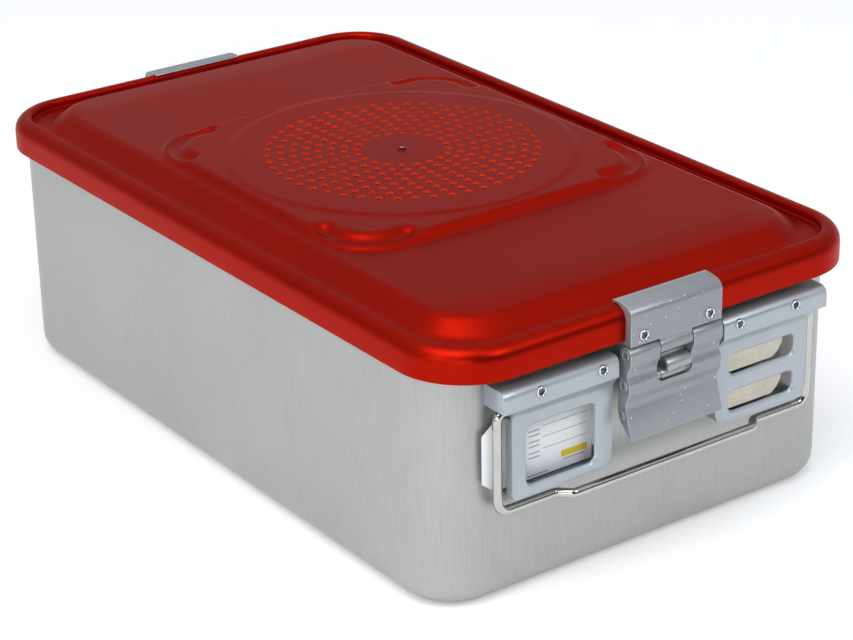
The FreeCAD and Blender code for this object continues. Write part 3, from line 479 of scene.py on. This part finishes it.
lid_rings = []
for z in (LID_BOTTOM, LID_BOTTOM + 1.0, LID_RIM - BEAD_RADIUS):
    lid_rings.append((0, 0, LID_CORNER, z))
for degrees in range(15, 91, 15):
    a = math.radians(degrees)
    d = BEAD_RADIUS * (1 - math.cos(a))
    lid_rings.append((d, d, LID_CORNER - d, LID_RIM - BEAD_RADIUS * (1 - math.sin(a))))
for degrees in range(0, 76, 15):
    a = math.radians(degrees)
    d = BEAD_WIDTH - BEAD_INNER_RADIUS * (1 - math.sin(a))
    lid_rings.append((d, d, LID_CORNER - d, LID_RIM - BEAD_INNER_RADIUS * (1 - math.cos(a))))
lid_rings.append((BEAD_WIDTH + 0.1, BEAD_WIDTH + 0.1, LID_CORNER - BEAD_WIDTH - 0.1, VALLEY + 0.45))
lid_rings.append((BEAD_WIDTH + 0.6, BEAD_WIDTH + 0.6, LID_CORNER - BEAD_WIDTH - 0.6, VALLEY))
ramp_softness = 0.22
for t in np.linspace(-ramp_softness, 1 + ramp_softness * 0.55, 15):
    end = BEAD_WIDTH + VALLEY_END + RAMP_RUN * t
    side = BEAD_WIDTH + VALLEY_SIDE + RAMP_RUN * t
    radius = PLATEAU_CORNER + RAMP_RUN * (1 - t)
    lid_rings.append((end, side, radius, VALLEY + (PLATEAU - VALLEY) * float(soft_step(t, ramp_softness))))
loops = [rounded_loop(LID_HALF_X - dx, LID_HALF_Y - dy, r, z) for dx, dy, r, z in lid_rings]
rows = add_loops(bm, loops)
last = set(rows[-1])
ring_edges = [e for e in bm.edges if e.is_boundary and e.verts[0] in last and e.verts[1] in last]
for v in rows[-1]:
    v.co.z = PLATEAU * MM
bmesh.ops.triangle_fill(bm, use_beauty=True, edges=ring_edges + outer_edges, normal=(0, 0, 1))
bmesh.ops.recalc_face_normals(bm, faces=bm.faces)
lid = make_object("lid", bm, lid_paint)
lid.data.materials.append(lid_edge_lit_paint)
sheet = lid.modifiers.new("sheet", "SOLIDIFY")
sheet.thickness = LID_SHEET * MM
sheet.offset = -1
sheet.material_offset_rim = 1
bpy.context.view_layer.update()
solid = bpy.data.meshes.new_from_object(lid.evaluated_get(bpy.context.evaluated_depsgraph_get()))
lid.modifiers.clear()
lid.data = solid
solid.set_sharp_from_angle(angle=math.radians(35))
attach(lid, "lid")
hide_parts("lid_shell")

# Gasket and filter. A grey rubber ring under the lid, and below the vent field a paper filter held by
# a pressed steel cover that clips on a rivet in the middle of the lid.
rubber = finished("gasket_rubber", (0.30, 0.31, 0.33), spread=0.08, roughness=(0.55, 0.7), metallic=0.0,
                  grain=700, blotch=20, bump=0.2)
cover_metal = finished("cover_metal", (0.46, 0.47, 0.47), spread=0.06, roughness=(0.3, 0.42), metallic=0.9,
                       grain=500, blotch=18, bump=0.15)
paper = finished("filter_paper", (0.74, 0.74, 0.71), spread=0.05, roughness=(0.75, 0.9), metallic=0.0,
                 grain=900, blotch=40, bump=0.4)


def dress(node, material):
    """Give a CAD piece its material and smooth shading."""
    node.data.materials.clear()
    node.data.materials.append(material)
    shade_smooth(node.data, 35.0)


dress(nodes["lid_gasket"], rubber)
dress(nodes["filter_cover"], cover_metal)
dress(nodes["filter_paper"], paper)

# The post's head is plain steel in the middle; round that its colour is dark red, a painted reflection of the
# red lid.
post_lid_reflection, _ = new_group("post_lid_reflection", "Shader", (), (("Color", "Color"),))
post_place = add_node(post_lid_reflection, "ShaderNodeTexCoord").outputs["Object"]
post_flat = add_node(post_lid_reflection, "ShaderNodeVectorMath", {0: post_place, 1: (1, 1, 0)}, operation="MULTIPLY")
post_away = add_node(post_lid_reflection, "ShaderNodeVectorMath", {0: post_flat}, operation="LENGTH")
post_band = add_node(post_lid_reflection, "ShaderNodeMapRange",
                     {"Value": post_away.outputs["Value"], "From Min": 0.9 * MM, "From Max": 1.2 * MM})
post_reflection_tone = add_node(post_lid_reflection, "ShaderNodeValToRGB", {0: post_band})
set_ramp(post_reflection_tone, ((0.0, (0.55, 0.55, 0.55)), (1.0, (0.10, 0.012, 0.010))))
add_node(post_lid_reflection, "NodeGroupOutput", {"Color": post_reflection_tone})
post_steel, _, _ = material_of("post_steel", post_lid_reflection, Metallic=1.0, Roughness=0.3)
dress(nodes["filter_post"], post_steel)

# Brackets. At each end two pressed steel brackets stand on the tray's wall, one with a window for the
# label card and one with two slots for a tag. The sheet is bent round at the top and punched.
WALL = TRAY_HALF_X
BRACKET_SHEET = 1.5
BRACKET_INNER = 35.0
BRACKET_OUTER = 98.5
CHANNEL_OUTER = 107.0
BRACKET_LOW = 61.5
BRACKET_HIGH = 124.5
PLATE_FACE = WALL + 12.0
CHANNEL_FACE = WALL + 17.0


def corner_arc(before, here, after, radius):
    """Centre of the arc that rounds a corner, and the arc's first and last points as seen from there."""
    back = (before - here).normalized()
    ahead = (after - here).normalized()
    half = back.angle(ahead) / 2
    centre = here + (back + ahead).normalized() * (radius / math.sin(half))
    reach = radius / math.tan(half)
    return centre, here + back * reach - centre, here + ahead * reach - centre


def rounded_outline(corners, steps=6):
    """Outline through (u, v, radius) corners, each rounded by its own radius."""
    points = []
    for i, (u, v, radius) in enumerate(corners):
        if radius == 0:
            points.append((u, v))
            continue
        after = Vector(corners[(i + 1) % len(corners)][:2])
        centre, start, end = corner_arc(Vector(corners[i - 1][:2]), Vector((u, v)), after, radius)
        first = math.atan2(start.y, start.x)
        sweep = (math.atan2(end.y, end.x) - first + math.pi) % (2 * math.pi) - math.pi
        for k in range(steps + 1):
            a = first + sweep * k / steps
            points.append((centre.x + radius * math.cos(a), centre.y + radius * math.sin(a)))
    return points


def capped(loops):
    """Closed mesh through loops of points, in millimetres."""
    bm = bmesh.new()
    rows = add_loops(bm, loops, 1.0)
    bm.faces.new(list(reversed(rows[0])))
    bm.faces.new(rows[-1])
    bmesh.ops.recalc_face_normals(bm, faces=bm.faces)
    return plain_mesh("solid", bm)


def stacked(sections, axis):
    """Closed mesh through (outline, position) sections along the x or y axis."""
    def placed(u, v, at):
        return (at, u, v) if axis == "x" else (u, at, v)

    return capped([[placed(u, v, at) for u, v in outline] for outline, at in sections])


def rectangle(u0, v0, u1, v1, radius=0):
    """Corners of a rectangle, each rounded by the same radius."""
    return [(u0, v0, radius), (u1, v0, radius), (u1, v1, radius), (u0, v1, radius)]


def slab(corners, low, high, axis="y", steps=6):
    outline = rounded_outline(corners, steps)
    return stacked([(outline, low), (outline, high)], axis)


def round_bar(u, v, low, high, radius, sides=28, axis="y"):
    turn = [2 * math.pi * k / sides for k in range(sides)]
    outline = [(u + radius * math.cos(a), v + radius * math.sin(a)) for a in turn]
    return stacked([(outline, low), (outline, high)], axis)


def worked(mesh, steps=(), bevel=0.0, coats=()):
    """Mesh after (operation, other mesh) steps, in the first coat, with bevelled edges in the last coat."""
    for coat in coats:
        mesh.materials.append(coat)
    piece = bpy.data.objects.new("work", mesh)
    bpy.context.scene.collection.objects.link(piece)
    tools = []
    for operation, other in steps:
        tool = bpy.data.objects.new("tool", other)
        bpy.context.scene.collection.objects.link(tool)
        tools.append(tool)
        change = piece.modifiers.new("step", "BOOLEAN")
        change.operation = operation
        change.solver = "EXACT"
        change.object = tool
    if bevel:
        edge = piece.modifiers.new("edge", "BEVEL")
        edge.width = bevel
        edge.segments = 2
        edge.material = len(coats) - 1
        edge.limit_method = "ANGLE"
        edge.angle_limit = math.radians(38)
    bpy.context.view_layer.update()
    result = bpy.data.meshes.new_from_object(piece.evaluated_get(bpy.context.evaluated_depsgraph_get()))
    for other in tools + [piece]:
        bpy.data.objects.remove(other)
    return result


def fit_both(name, mesh, material, slot, body, *replaced, smooth=32.0):
    """Place the finished mesh at the front end, and turned half round at the rear end."""
    mesh.transform(Matrix.Scale(MM, 4))
    if len(mesh.materials) < 2:
        mesh.materials.clear()
        mesh.materials.append(material)
    shade_smooth(mesh, smooth)
    for end in ("front", "rear"):
        own = mesh.copy()
        if end == "rear":
            own.transform(Matrix.Rotation(math.pi, 4, "Z"))
        piece = bpy.data.objects.new(end + "_" + name, own)
        bpy.context.scene.collection.objects.link(piece)
        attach(piece, body.replace("END", end))
        if replaced:
            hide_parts(*[end + "_" + node for node in replaced])


def bracket_form(inset, back):
    """Outside of the bracket, or with the sheet's thickness as inset the hollow in it."""
    side = [(back, BRACKET_LOW + inset, 0), (PLATE_FACE - inset, BRACKET_LOW + inset, 0),
            (PLATE_FACE - inset, 107.0, 3.0), (CHANNEL_FACE - inset, 114.0, 3.0),
            (CHANNEL_FACE - inset, BRACKET_HIGH - inset, 4.5 - inset), (back, BRACKET_HIGH - inset, 0)]
    inner = BRACKET_INNER + inset
    outer = BRACKET_OUTER - inset
    view = [(inner, BRACKET_LOW + inset, 8.0 - inset), (outer, BRACKET_LOW + inset, 3.0 - inset),
            (outer, 130.0, 0), (inner, 130.0, 0)]
    low = 113.0 if inset == 0 else 112.0
    channel = [(back, low, 0), (CHANNEL_FACE - inset, low, 0),
               (CHANNEL_FACE - inset, BRACKET_HIGH - inset, 4.5 - inset), (back, BRACKET_HIGH - inset, 0)]
    return worked(slab(side, inner, outer), (("INTERSECT", slab(view, back - 1, CHANNEL_FACE + 1, "x")),
                                             ("UNION", slab(channel, inner, CHANNEL_OUTER - inset))))


def window_cut(inner, outer, low, high):
    """Window whose edge is pressed inwards, as a cutter that narrows through the sheet."""
    sections = []
    for x, grow in ((PLATE_FACE + 0.4, 1.75), (PLATE_FACE - 0.25, 1.0), (PLATE_FACE - 0.9, 0.3),
                    (PLATE_FACE - BRACKET_SHEET, 0.0), (PLATE_FACE - BRACKET_SHEET - 1, 0.0)):
        corners = rectangle(inner - grow, low - grow, outer + grow, high + grow, 4 + grow)
        sections.append((rounded_outline(corners), x))
    return stacked(sections, "x")


def mirrored(mesh):
    mesh.transform(Matrix.Scale(-1, 4, (0, 1, 0)))
    mesh.flip_normals()
    return mesh


steel = finished("bracket_steel", (0.42, 0.455, 0.49), spread=0.06, roughness=(0.30, 0.40), metallic=0.5,
                 grain=1600, blotch=25, bump=0.1)
# Bevelled edges get this lighter copy of the metal, a painted highlight along each edge.
edge_highlight_paint = finished("edge_highlight_paint", (0.80, 0.81, 0.82), spread=0.06, roughness=(0.25, 0.38), metallic=0.6,
                       grain=900, blotch=60, bump=0.05)


def bracket(windows):
    """Bent and punched sheet bracket on the +Y side."""
    def block(x0, x1, y0, y1, z0, z1):
        return slab(rectangle(y0, z0, y1, z1), x0, x1, "x")

    cuts = [("DIFFERENCE", bracket_form(BRACKET_SHEET, WALL - 1)),
            ("DIFFERENCE", block(WALL - 1, PLATE_FACE - 5.0, 96.5, 99.0, 63.0, 113.0)),
            ("DIFFERENCE", block(WALL - 1, PLATE_FACE - BRACKET_SHEET, 96.5, 99.0, 105.6, 113.0)),
            ("DIFFERENCE", block(WALL - 1, CHANNEL_FACE - 6.0, 34.5, 36.6, 63.0, 123.0))]
    cuts += [("DIFFERENCE", window_cut(*window)) for window in windows]
    return worked(bracket_form(0, WALL), cuts, 0.35, (steel, edge_highlight_paint))


label_mesh = mirrored(bracket([(45.5, 89.0, 67.0, 100.0)]))
fit_both("label_bracket_sheet", label_mesh, steel, "bracket_steel", "base", "label_bracket")
tag_mesh = bracket([(44.5, 90.0, low, low + 11.4) for low in (67.3, 88.6)])
fit_both("tag_bracket_sheet", tag_mesh, steel, "bracket_steel", "base", "tag_bracket")

# Tag springs. Behind the tag slots a polished sheet of spring steel is fixed on the wall. It is cut and
# pressed into two bowed tongues that hold a tag against the bracket.
spring_steel = finished("spring_steel", (0.46, 0.43, 0.36), spread=0.08, roughness=(0.10, 0.22), metallic=1.0,
                        grain=250, blotch=90, bump=0.08)
for end in ("front", "rear"):
    dress(nodes[end + "_tag_spring"], spring_steel)

# Rivets. Polished tubular rivets, each with a rolled ring for a head, hold the brackets, the latch plate and
# the catch. A rivet has a shank, a spacer and a flat tail on the inside. One node tree makes them in pairs.
RING_MIDDLE = 0.79
RING_THICK = 0.21
ALONG_X = (0, math.pi / 2, 0)
polished = finished("polished_steel", (0.62, 0.62, 0.62), spread=0.04, roughness=(0.07, 0.13), metallic=1.0,
                    grain=300, blotch=60, bump=0.02)
# The hollow of each head is closed by a dark blue, blotchy disc: painted shade in the hole and a painted
# reflection of the room.
rivet_painted_hollow = finished("rivet_painted_hollow", (0.07, 0.09, 0.14), spread=0.7, roughness=(0.12, 0.25), metallic=1.0,
                      grain=600, blotch=300, bump=0.05)
rivet_sizes = (("Spacing", 91.0), ("Height", 119.8), ("Head Face", 234.0), ("Tail Face", 215.0),
               ("Spacer End", 231.9), ("Head Radius", 3.1), ("Head Rise", 1.15), ("Shank Radius", 1.5),
               ("Spacer Radius", 1.9), ("Tail Height", 1.0))
rivet_tree, rivet = new_group(
    "rivet_pair", "Geometry",
    [(label, "Float", value) for label, value in rivet_sizes]
    + [("Material", "Material", None), ("Core Material", "Material", None)], (("Geometry", "Geometry"),))


def rivet_node(kind, inputs):
    return add_node(rivet_tree, kind, inputs)


def rivet_math(operation, a, b):
    return add_math(rivet_tree, operation, a, b)


def rivet_bar(start, end, radius):
    """Cylinder along X between two positions."""
    bar = rivet_node("GeometryNodeMeshCylinder",
                     {"Vertices": 16, "Radius": radius, "Depth": rivet_math("SUBTRACT", end, start)})
    middle = rivet_math("MULTIPLY", rivet_math("ADD", start, end), 0.5)
    centre = rivet_node("ShaderNodeCombineXYZ", {"X": middle})
    return rivet_node("GeometryNodeTransform", {"Geometry": bar, "Rotation": ALONG_X, "Translation": centre})


ring_line = rivet_node("GeometryNodeCurvePrimitiveCircle", {"Resolution": 28, "Radius": RING_MIDDLE})
ring_round = rivet_node("GeometryNodeCurvePrimitiveCircle", {"Resolution": 12, "Radius": RING_THICK})
head_ring = rivet_node("GeometryNodeCurveToMesh", {"Curve": ring_line, "Profile Curve": ring_round})
head_size = rivet_node("ShaderNodeCombineXYZ", {"X": rivet["Head Radius"], "Y": rivet["Head Radius"],
                                                "Z": rivet_math("DIVIDE", rivet["Head Rise"], RING_THICK)})
head_place = rivet_node("ShaderNodeCombineXYZ", {"X": rivet["Head Face"]})
head = rivet_node("GeometryNodeTransform",
                  {"Geometry": head_ring, "Rotation": ALONG_X, "Scale": head_size, "Translation": head_place})
core = rivet_bar(rivet_math("SUBTRACT", rivet["Head Face"], 0.4), rivet_math("ADD", rivet["Head Face"], 0.1),
                 rivet_math("MULTIPLY", rivet["Head Radius"], RING_MIDDLE - 0.08))
tail_start = rivet_math("SUBTRACT", rivet["Tail Face"], rivet["Tail Height"])
wall_face = rivet_math("ADD", rivet["Tail Face"], TRAY_WALL)
shank = rivet_bar(tail_start, rivet["Head Face"], rivet["Shank Radius"])
tail = rivet_bar(tail_start, rivet["Tail Face"], rivet["Head Radius"])
spacer = rivet_bar(wall_face, rivet["Spacer End"], rivet["Spacer Radius"])
metal = rivet_node("GeometryNodeJoinGeometry", {0: [head, shank, tail, spacer]})
hollow_shade_part = rivet_node("GeometryNodeSetMaterial", {0: core, "Material": rivet["Core Material"]})
bright_part = rivet_node("GeometryNodeSetMaterial", {0: metal, "Material": rivet["Material"]})
whole_rivet = rivet_node("GeometryNodeJoinGeometry", {0: [hollow_shade_part, bright_part]})
row_start = rivet_node("ShaderNodeCombineXYZ", {"Y": rivet_math("MULTIPLY", rivet["Spacing"], -0.5),
                                                "Z": rivet["Height"]})
row_step = rivet_node("ShaderNodeCombineXYZ", {"Y": rivet["Spacing"]})
row = rivet_node("GeometryNodeMeshLine", {"Count": 2, "Start Location": row_start, "Offset": row_step})
placed = rivet_node("GeometryNodeInstanceOnPoints", {"Points": row, "Instance": whole_rivet})
rivet_node("NodeGroupOutput", {"Geometry": rivet_node("GeometryNodeRealizeInstances", {0: placed})})


def joined(name, parts):
    """One mesh of several that have the same materials."""
    bm = bmesh.new()
    for part in parts:
        bm.from_mesh(part)
    mesh = plain_mesh(name, bm)
    for coat in parts[0].materials:
        mesh.materials.append(coat)
    return mesh


for name, spacings, body, node, values in (
        ("bracket_rivet_set", (91.0, 169.0), "base", "bracket_rivets", {}),
        ("plate_rivet_set", (43.5,), "lid", "plate_rivets",
         {"Height": 133.6, "Head Face": 237.0, "Tail Face": 231.0, "Spacer End": 234.0,
          "Spacer Radius": 1.5}),
        ("catch_rivet_set", (16.0,), "base", "catch_rivets",
         {"Height": 104.0, "Head Face": 219.0, "Tail Face": 215.0, "Spacer End": 218.0,
          "Spacer Radius": 1.5})):
    pairs = []
    for spacing in spacings:
        chosen = {"Spacing": spacing, "Material": polished, "Core Material": rivet_painted_hollow, **values}
        pairs.append(grown_mesh(name, rivet_tree, chosen))
    fit_both(name, joined(name, pairs), polished, "rivet_steel", body, node, smooth=50.0)

# Handles. Each drop handle is one bent and polished steel wire whose ends turn in two small blocks
# behind the brackets; its grip stands forward of the legs.
WIRE = 2.5
HANDLE_X = WALL + 6.8
HANDLE_HIGH = 109.5
HANDLE_LOW = 54.5
HANDLE_HALF = 104.0
GRIP_X = HANDLE_X + 6.5


def bent_path(corners, steps=10):
    """Points along a wire bent at each (point, radius) corner."""
    path = [Vector(corners[0][0])]
    for i in range(1, len(corners) - 1):
        before, here, after = (Vector(corners[k][0]) for k in (i - 1, i, i + 1))
        radius = corners[i][1]
        centre, start, end = corner_arc(before, here, after, radius)
        for k in range(steps + 1):
            path.append(centre + start.normalized().slerp(end.normalized(), k / steps) * radius)
    path.append(Vector(corners[-1][0]))
    return path


def wire_mesh(path, radius, sides=24):
    """Round wire along a path, with slightly rounded ends."""
    side = Vector((1, 0, 0))
    loops = []
    for i, here in enumerate(path):
        ahead = (path[min(i + 1, len(path) - 1)] - path[max(i - 1, 0)]).normalized()
        side = (side - ahead * side.dot(ahead)).normalized()
        other = ahead.cross(side)
        size = radius * (0.82 if i in (0, len(path) - 1) else 1.0)
        turn = [2 * math.pi * k / sides for k in range(sides)]
        loops.append([here + side * (size * math.cos(a)) + other * (size * math.sin(a)) for a in turn])
    return capped(loops)


half_path = [((HANDLE_X, 82.0, HANDLE_HIGH), 0), ((HANDLE_X, HANDLE_HALF, HANDLE_HIGH), 5.0),
             ((HANDLE_X, HANDLE_HALF, HANDLE_LOW), 6.5), ((HANDLE_X, 67.0, HANDLE_LOW), 4.0),
             ((GRIP_X, 60.5, HANDLE_LOW), 4.0)]
whole_path = half_path + [((x, -y, z), r) for (x, y, z), r in reversed(half_path)]
handle_path = bent_path(whole_path)
handle_path.insert(1, handle_path[0] + Vector((0, 0.5, 0)))
handle_path.insert(-1, handle_path[-1] + Vector((0, -0.5, 0)))
chrome = finished("chrome_wire", (0.50, 0.485, 0.455), spread=0.05, roughness=(0.04, 0.08), metallic=1.0,
                  grain=200, blotch=50, bump=0.02)
fit_both("handle_wire", wire_mesh(handle_path, WIRE - 0.01), chrome, "handle_steel", "END_handle", "handle")
bearing_metal = finished("bearing_metal", (0.42, 0.43, 0.44), spread=0.06, roughness=(0.3, 0.45),
                         metallic=1.0, grain=800, blotch=60, bump=0.15)
for end in ("front", "rear"):
    dress(nodes[end + "_label_side_bearing"], bearing_metal)
    dress(nodes[end + "_tag_side_bearing"], bearing_metal)

# Label card. A stiff white card with cut corners stands behind the window and sticks out at the side;
# it is printed with ruled lines, short grey bars and one yellow bar, and bears no words.
CARD_BACK = 219.6
CARD_FRONT = 220.2
CARD_LOW = 64.8
CARD_HIGH = 103.2
CARD_INNER = -41.0
CARD_CUT = -102.5
CARD_OUTER = -110.5


def print_place(y, z):
    """Place of a point of the front card on its print map."""
    return (y + 110.0) / 100.0, (z - 60.0) / 100.0


card_corners = [(CARD_INNER, CARD_LOW, 0), (CARD_INNER, CARD_HIGH, 0), (CARD_CUT, CARD_HIGH, 0),
                (CARD_OUTER, CARD_HIGH - 6.0, 0), (CARD_OUTER, CARD_LOW + 6.0, 0), (CARD_CUT, CARD_LOW, 0)]
card_mesh = worked(slab(card_corners, CARD_BACK, CARD_FRONT, "x"), (), 0.1)
card_map = card_mesh.uv_layers.new(name="print")
for corner in card_mesh.loops:
    spot = card_mesh.vertices[corner.vertex_index].co
    card_map.data[corner.index].uv = print_place(spot.y, spot.z)

card_print, _ = new_group("card_print", "Shader", (), (("Color", "Color"),))
print_map = add_node(card_print, "ShaderNodeUVMap", uv_map="print")
print_parts = add_node(card_print, "ShaderNodeSeparateXYZ", {0: print_map}).outputs


def printed_bar(left, right, low, high):
    """Mask of a bar between two y and two z positions on the front card."""
    def inside(value, start, end):
        offset = add_math(card_print, "SUBTRACT", value, (start + end) / 2)
        distance = add_math(card_print, "ABSOLUTE", offset, 0.0)
        return add_math(card_print, "LESS_THAN", distance, (end - start) / 2)

    (start_x, start_y), (end_x, end_y) = print_place(left, low), print_place(right, high)
    across = inside(print_parts["X"], start_x, end_x)
    upright = inside(print_parts["Y"], start_y, end_y)
    return add_math(card_print, "MULTIPLY", across, upright)


def printed(bars):
    mask = printed_bar(*bars[0])
    for bar in bars[1:]:
        mask = add_math(card_print, "MAXIMUM", mask, printed_bar(*bar))
    return mask


ruled = printed([(-72.6, -44.6, z, z + 0.28) for z in (92.1, 85.9, 79.4)])
marks = printed([(-81.6, -74.6, z, z + 0.75) for z in (90.6, 88.0, 84.6, 82.0, 78.4, 75.8)]
                + [(-82.0, -69.0, 65.8, 66.6), (-59.5, -45.5, 69.2, 69.8)])
accent = printed([(-60.8, -44.2, 71.0, 74.6)])
paper_grain = add_node(card_print, "ShaderNodeTexNoise", {"Vector": print_map, "Scale": 60})
card_colour = add_mix(card_print, paper_grain, (0.86, 0.88, 0.90, 1), (0.89, 0.91, 0.93, 1))
for mask, ink in ((ruled, (0.10, 0.10, 0.11, 1)), (marks, (0.32, 0.33, 0.35, 1)),
                  (accent, (0.78, 0.58, 0.02, 1))):
    card_colour = add_mix(card_print, mask, card_colour, ink)
add_node(card_print, "NodeGroupOutput", {"Color": card_colour})
card_stock, _, _ = material_of("card_stock", card_print, Roughness=0.5)
fit_both("label_card_sheet", card_mesh, card_stock, "label_card", "END_label_card", "label_card")

# Latch plate. An extruded aluminium plate is riveted over the lid's rim, with a knuckle below it for
# the lever's pin. It is satin anodised, with a few small white nicks; its bevelled edges carry a painted
# highlight.
LATCH_X = 233.4
HINGE_Z = 123.2
PLATE_HALF = 30.0
KNUCKLE_HALF = 10.5
PIN_HOLE = 2.55
BEAD_GAP = 0.05


def bead_arc(inner, first, last, away, steps=8):
    """Points on the lid's rolled rim, or a distance away from it, between two angles in degrees."""
    bead = BEAD_INNER_RADIUS if inner else BEAD_RADIUS
    radius = bead + BEAD_GAP + away
    turn = [math.radians(first + (last - first) * k / steps) for k in range(steps + 1)]
    centre = LID_HALF_X - BEAD_RADIUS
    return [(centre + radius * math.cos(a), LID_RIM - bead + radius * math.sin(a)) for a in turn]


plate_outline = [(229.3, 128.6), (237.0, 128.6), (237.0, 144.8), (236.8, 146.1), (236.1, 147.3),
                 (235.0, 148.4), (233.5, 149.3), (231.7, 149.9), (229.7, 150.3), (227.6, 150.55)]
plate_outline += bead_arc(False, 80, 90, 1.7, 2) + bead_arc(True, 90, 130, 1.7) + bead_arc(True, 130, 90, 0.0)
plate_outline += bead_arc(False, 90, 0, 0.0, 10) + [(232.55, 130.9), (229.3, 129.9)]
knuckle_neck = slab(rectangle(229.8, HINGE_Z, 236.6, 129.1), -KNUCKLE_HALF, KNUCKLE_HALF)
knuckle_bore = round_bar(LATCH_X, HINGE_Z, -12, 12, PIN_HOLE)
knuckle = worked(round_bar(LATCH_X, HINGE_Z, -KNUCKLE_HALF, KNUCKLE_HALF, 4.2),
                 [("UNION", knuckle_neck), ("DIFFERENCE", knuckle_bore)], 0.25)
latch_metal = finished("latch_metal", (0.29, 0.303, 0.323), spread=0.07, roughness=(0.32, 0.44), metallic=0.5,
                       grain=1300, blotch=30, bump=0.12, stretch=(1, 0.1, 1))
latch_tree = latch_metal.node_tree
latch_shade = latch_tree.nodes["Principled BSDF"].inputs["Base Color"]
nick_place = add_node(latch_tree, "ShaderNodeTexCoord").outputs["Object"]
nick_noise = add_node(latch_tree, "ShaderNodeTexNoise", {"Vector": nick_place, "Scale": 480})
nick_share = add_node(latch_tree, "ShaderNodeMapRange",
                      {"Value": nick_noise, "From Min": 0.71, "From Max": 0.74})
nicked = add_mix(latch_tree, nick_share, latch_shade.links[0].from_socket, (0.85, 0.86, 0.88, 1))
latch_tree.links.new(nicked, latch_shade)
latch_coats = (latch_metal, edge_highlight_paint)
plate_bar = stacked([(plate_outline, -PLATE_HALF), (plate_outline, PLATE_HALF)], "y")
plate_mesh = worked(plate_bar, (), 0.6, latch_coats)
fit_both("latch_plate_bar", plate_mesh, latch_metal, "latch_metal", "lid", "latch_plate")
fit_both("latch_knuckle", knuckle, latch_metal, "latch_metal", "lid", "latch_plate")

# Lever. The lever is cut from an extruded bar with a waved front and drawn out to a finger tip; a
# notch at the top lets in the knuckle and the claw. Three steel pins run through it.
LEVER_HALF = 30.5
PIN_RADIUS = 2.5
PIN_HALF = 30.4
lever_corners = [(LATCH_X + dx, HINGE_Z + dz, r) for dx, dz, r in (
    (4.3, 4.3, 4.2), (4.3, -4.6, 4.0), (1.2, -10.9, 6.0), (3.5, -15.4, 4.0), (3.5, -21.2, 4.0),
    (0.3, -27.4, 8.0), (5.7, -45.7, 0), (4.8, -45.9, 0), (-4.9, -36.0, 2.0), (-5.4, -31.0, 2.0),
    (-4.7, -7.0, 2.0), (-4.3, 4.3, 4.2))]
pin_spots = ((LATCH_X, HINGE_Z), (LATCH_X - 1.0, HINGE_Z - 17.2), (LATCH_X - 2.5, HINGE_Z - 34.2))
notch = slab([(-11.3, 104.2, 3.0), (11.3, 104.2, 3.0), (11.3, 130.0, 0), (-11.3, 130.0, 0)], 220, 245, "x")
lever_cuts = [("DIFFERENCE", notch), ("DIFFERENCE", round_bar(*pin_spots[1], -8.8, 8.8, 3.8))]
lever_cuts += [("DIFFERENCE", round_bar(x, z, -40, 40, PIN_HOLE, 24)) for x, z in pin_spots]
lever_mesh = worked(slab(lever_corners, -LEVER_HALF, LEVER_HALF, "y", 8), lever_cuts, 0.45, latch_coats)
fit_both("latch_lever_bar", lever_mesh, latch_metal, "latch_metal", "END_lever", "latch_lever")
pin_steel = finished("pin_steel", (0.50, 0.51, 0.52), spread=0.12, roughness=(0.25, 0.4), metallic=0.8,
                     grain=900, blotch=200, bump=0.15)
pin_coats = (pin_steel, edge_highlight_paint)
pin_bars = [round_bar(x, z, -PIN_HALF, PIN_HALF, PIN_RADIUS, 24) for x, z in pin_spots]
pins = [worked(bar, (), 0.4, pin_coats) for bar in pin_bars]
fit_both("latch_pin_set", joined("pins", pins), pin_steel, "pin_steel", "END_lever", "latch_pins")

# Claw and catch. A hooked claw with a rolled upper edge hangs on the middle pin and pulls against a
# hook strip that is riveted on the tray's wall.
CLAW_HALF = 8
CLAW_BACK = 225.6
CLAW_LOW = 85.5
CLAW_HIGH = 109.5
CURL_RADIUS = 4.4
claw_x, claw_z = pin_spots[1]
claw_arm = [(CLAW_BACK, CLAW_LOW, 0), (227.7, CLAW_LOW, 1.0), (227.7, CLAW_HIGH, 1.0),
            (CLAW_BACK, CLAW_HIGH, 0)]
claw_parts = [("UNION", slab(claw_arm, -CLAW_HALF, CLAW_HALF)),
              ("UNION", slab(rectangle(CLAW_BACK, claw_z, claw_x, CLAW_HIGH), -CLAW_HALF, CLAW_HALF)),
              ("UNION", slab(rectangle(223.3, CLAW_LOW, 227.2, 88.1), -CLAW_HALF, CLAW_HALF)),
              ("UNION", round_bar(claw_x, claw_z + CURL_RADIUS, -5.0, 10.5, CURL_RADIUS)),
              ("UNION", slab(rectangle(229.1, 110.4, 231.1, 116.5), -5.0, 10.5)),
              ("DIFFERENCE", round_bar(claw_x, claw_z, -12, 12, PIN_HOLE, 24)),
              ("DIFFERENCE", round_bar(claw_x, claw_z + CURL_RADIUS, -6.0, -1.0, 2.9, 24))]
claw_steel = finished("claw_steel", (0.38, 0.39, 0.40), spread=0.06, roughness=(0.32, 0.42), metallic=0.6,
                      grain=900, blotch=80, bump=0.03)
claw_barrel = round_bar(claw_x, claw_z, -CLAW_HALF, CLAW_HALF, 3.1)
claw_mesh = worked(claw_barrel, claw_parts, 0.3, (claw_steel, edge_highlight_paint))
fit_both("latch_claw_hook", claw_mesh, claw_steel, "claw_steel", "END_claw", "latch_claw")
for end in ("front", "rear"):
    dress(nodes[end + "_latch_catch"], claw_steel)
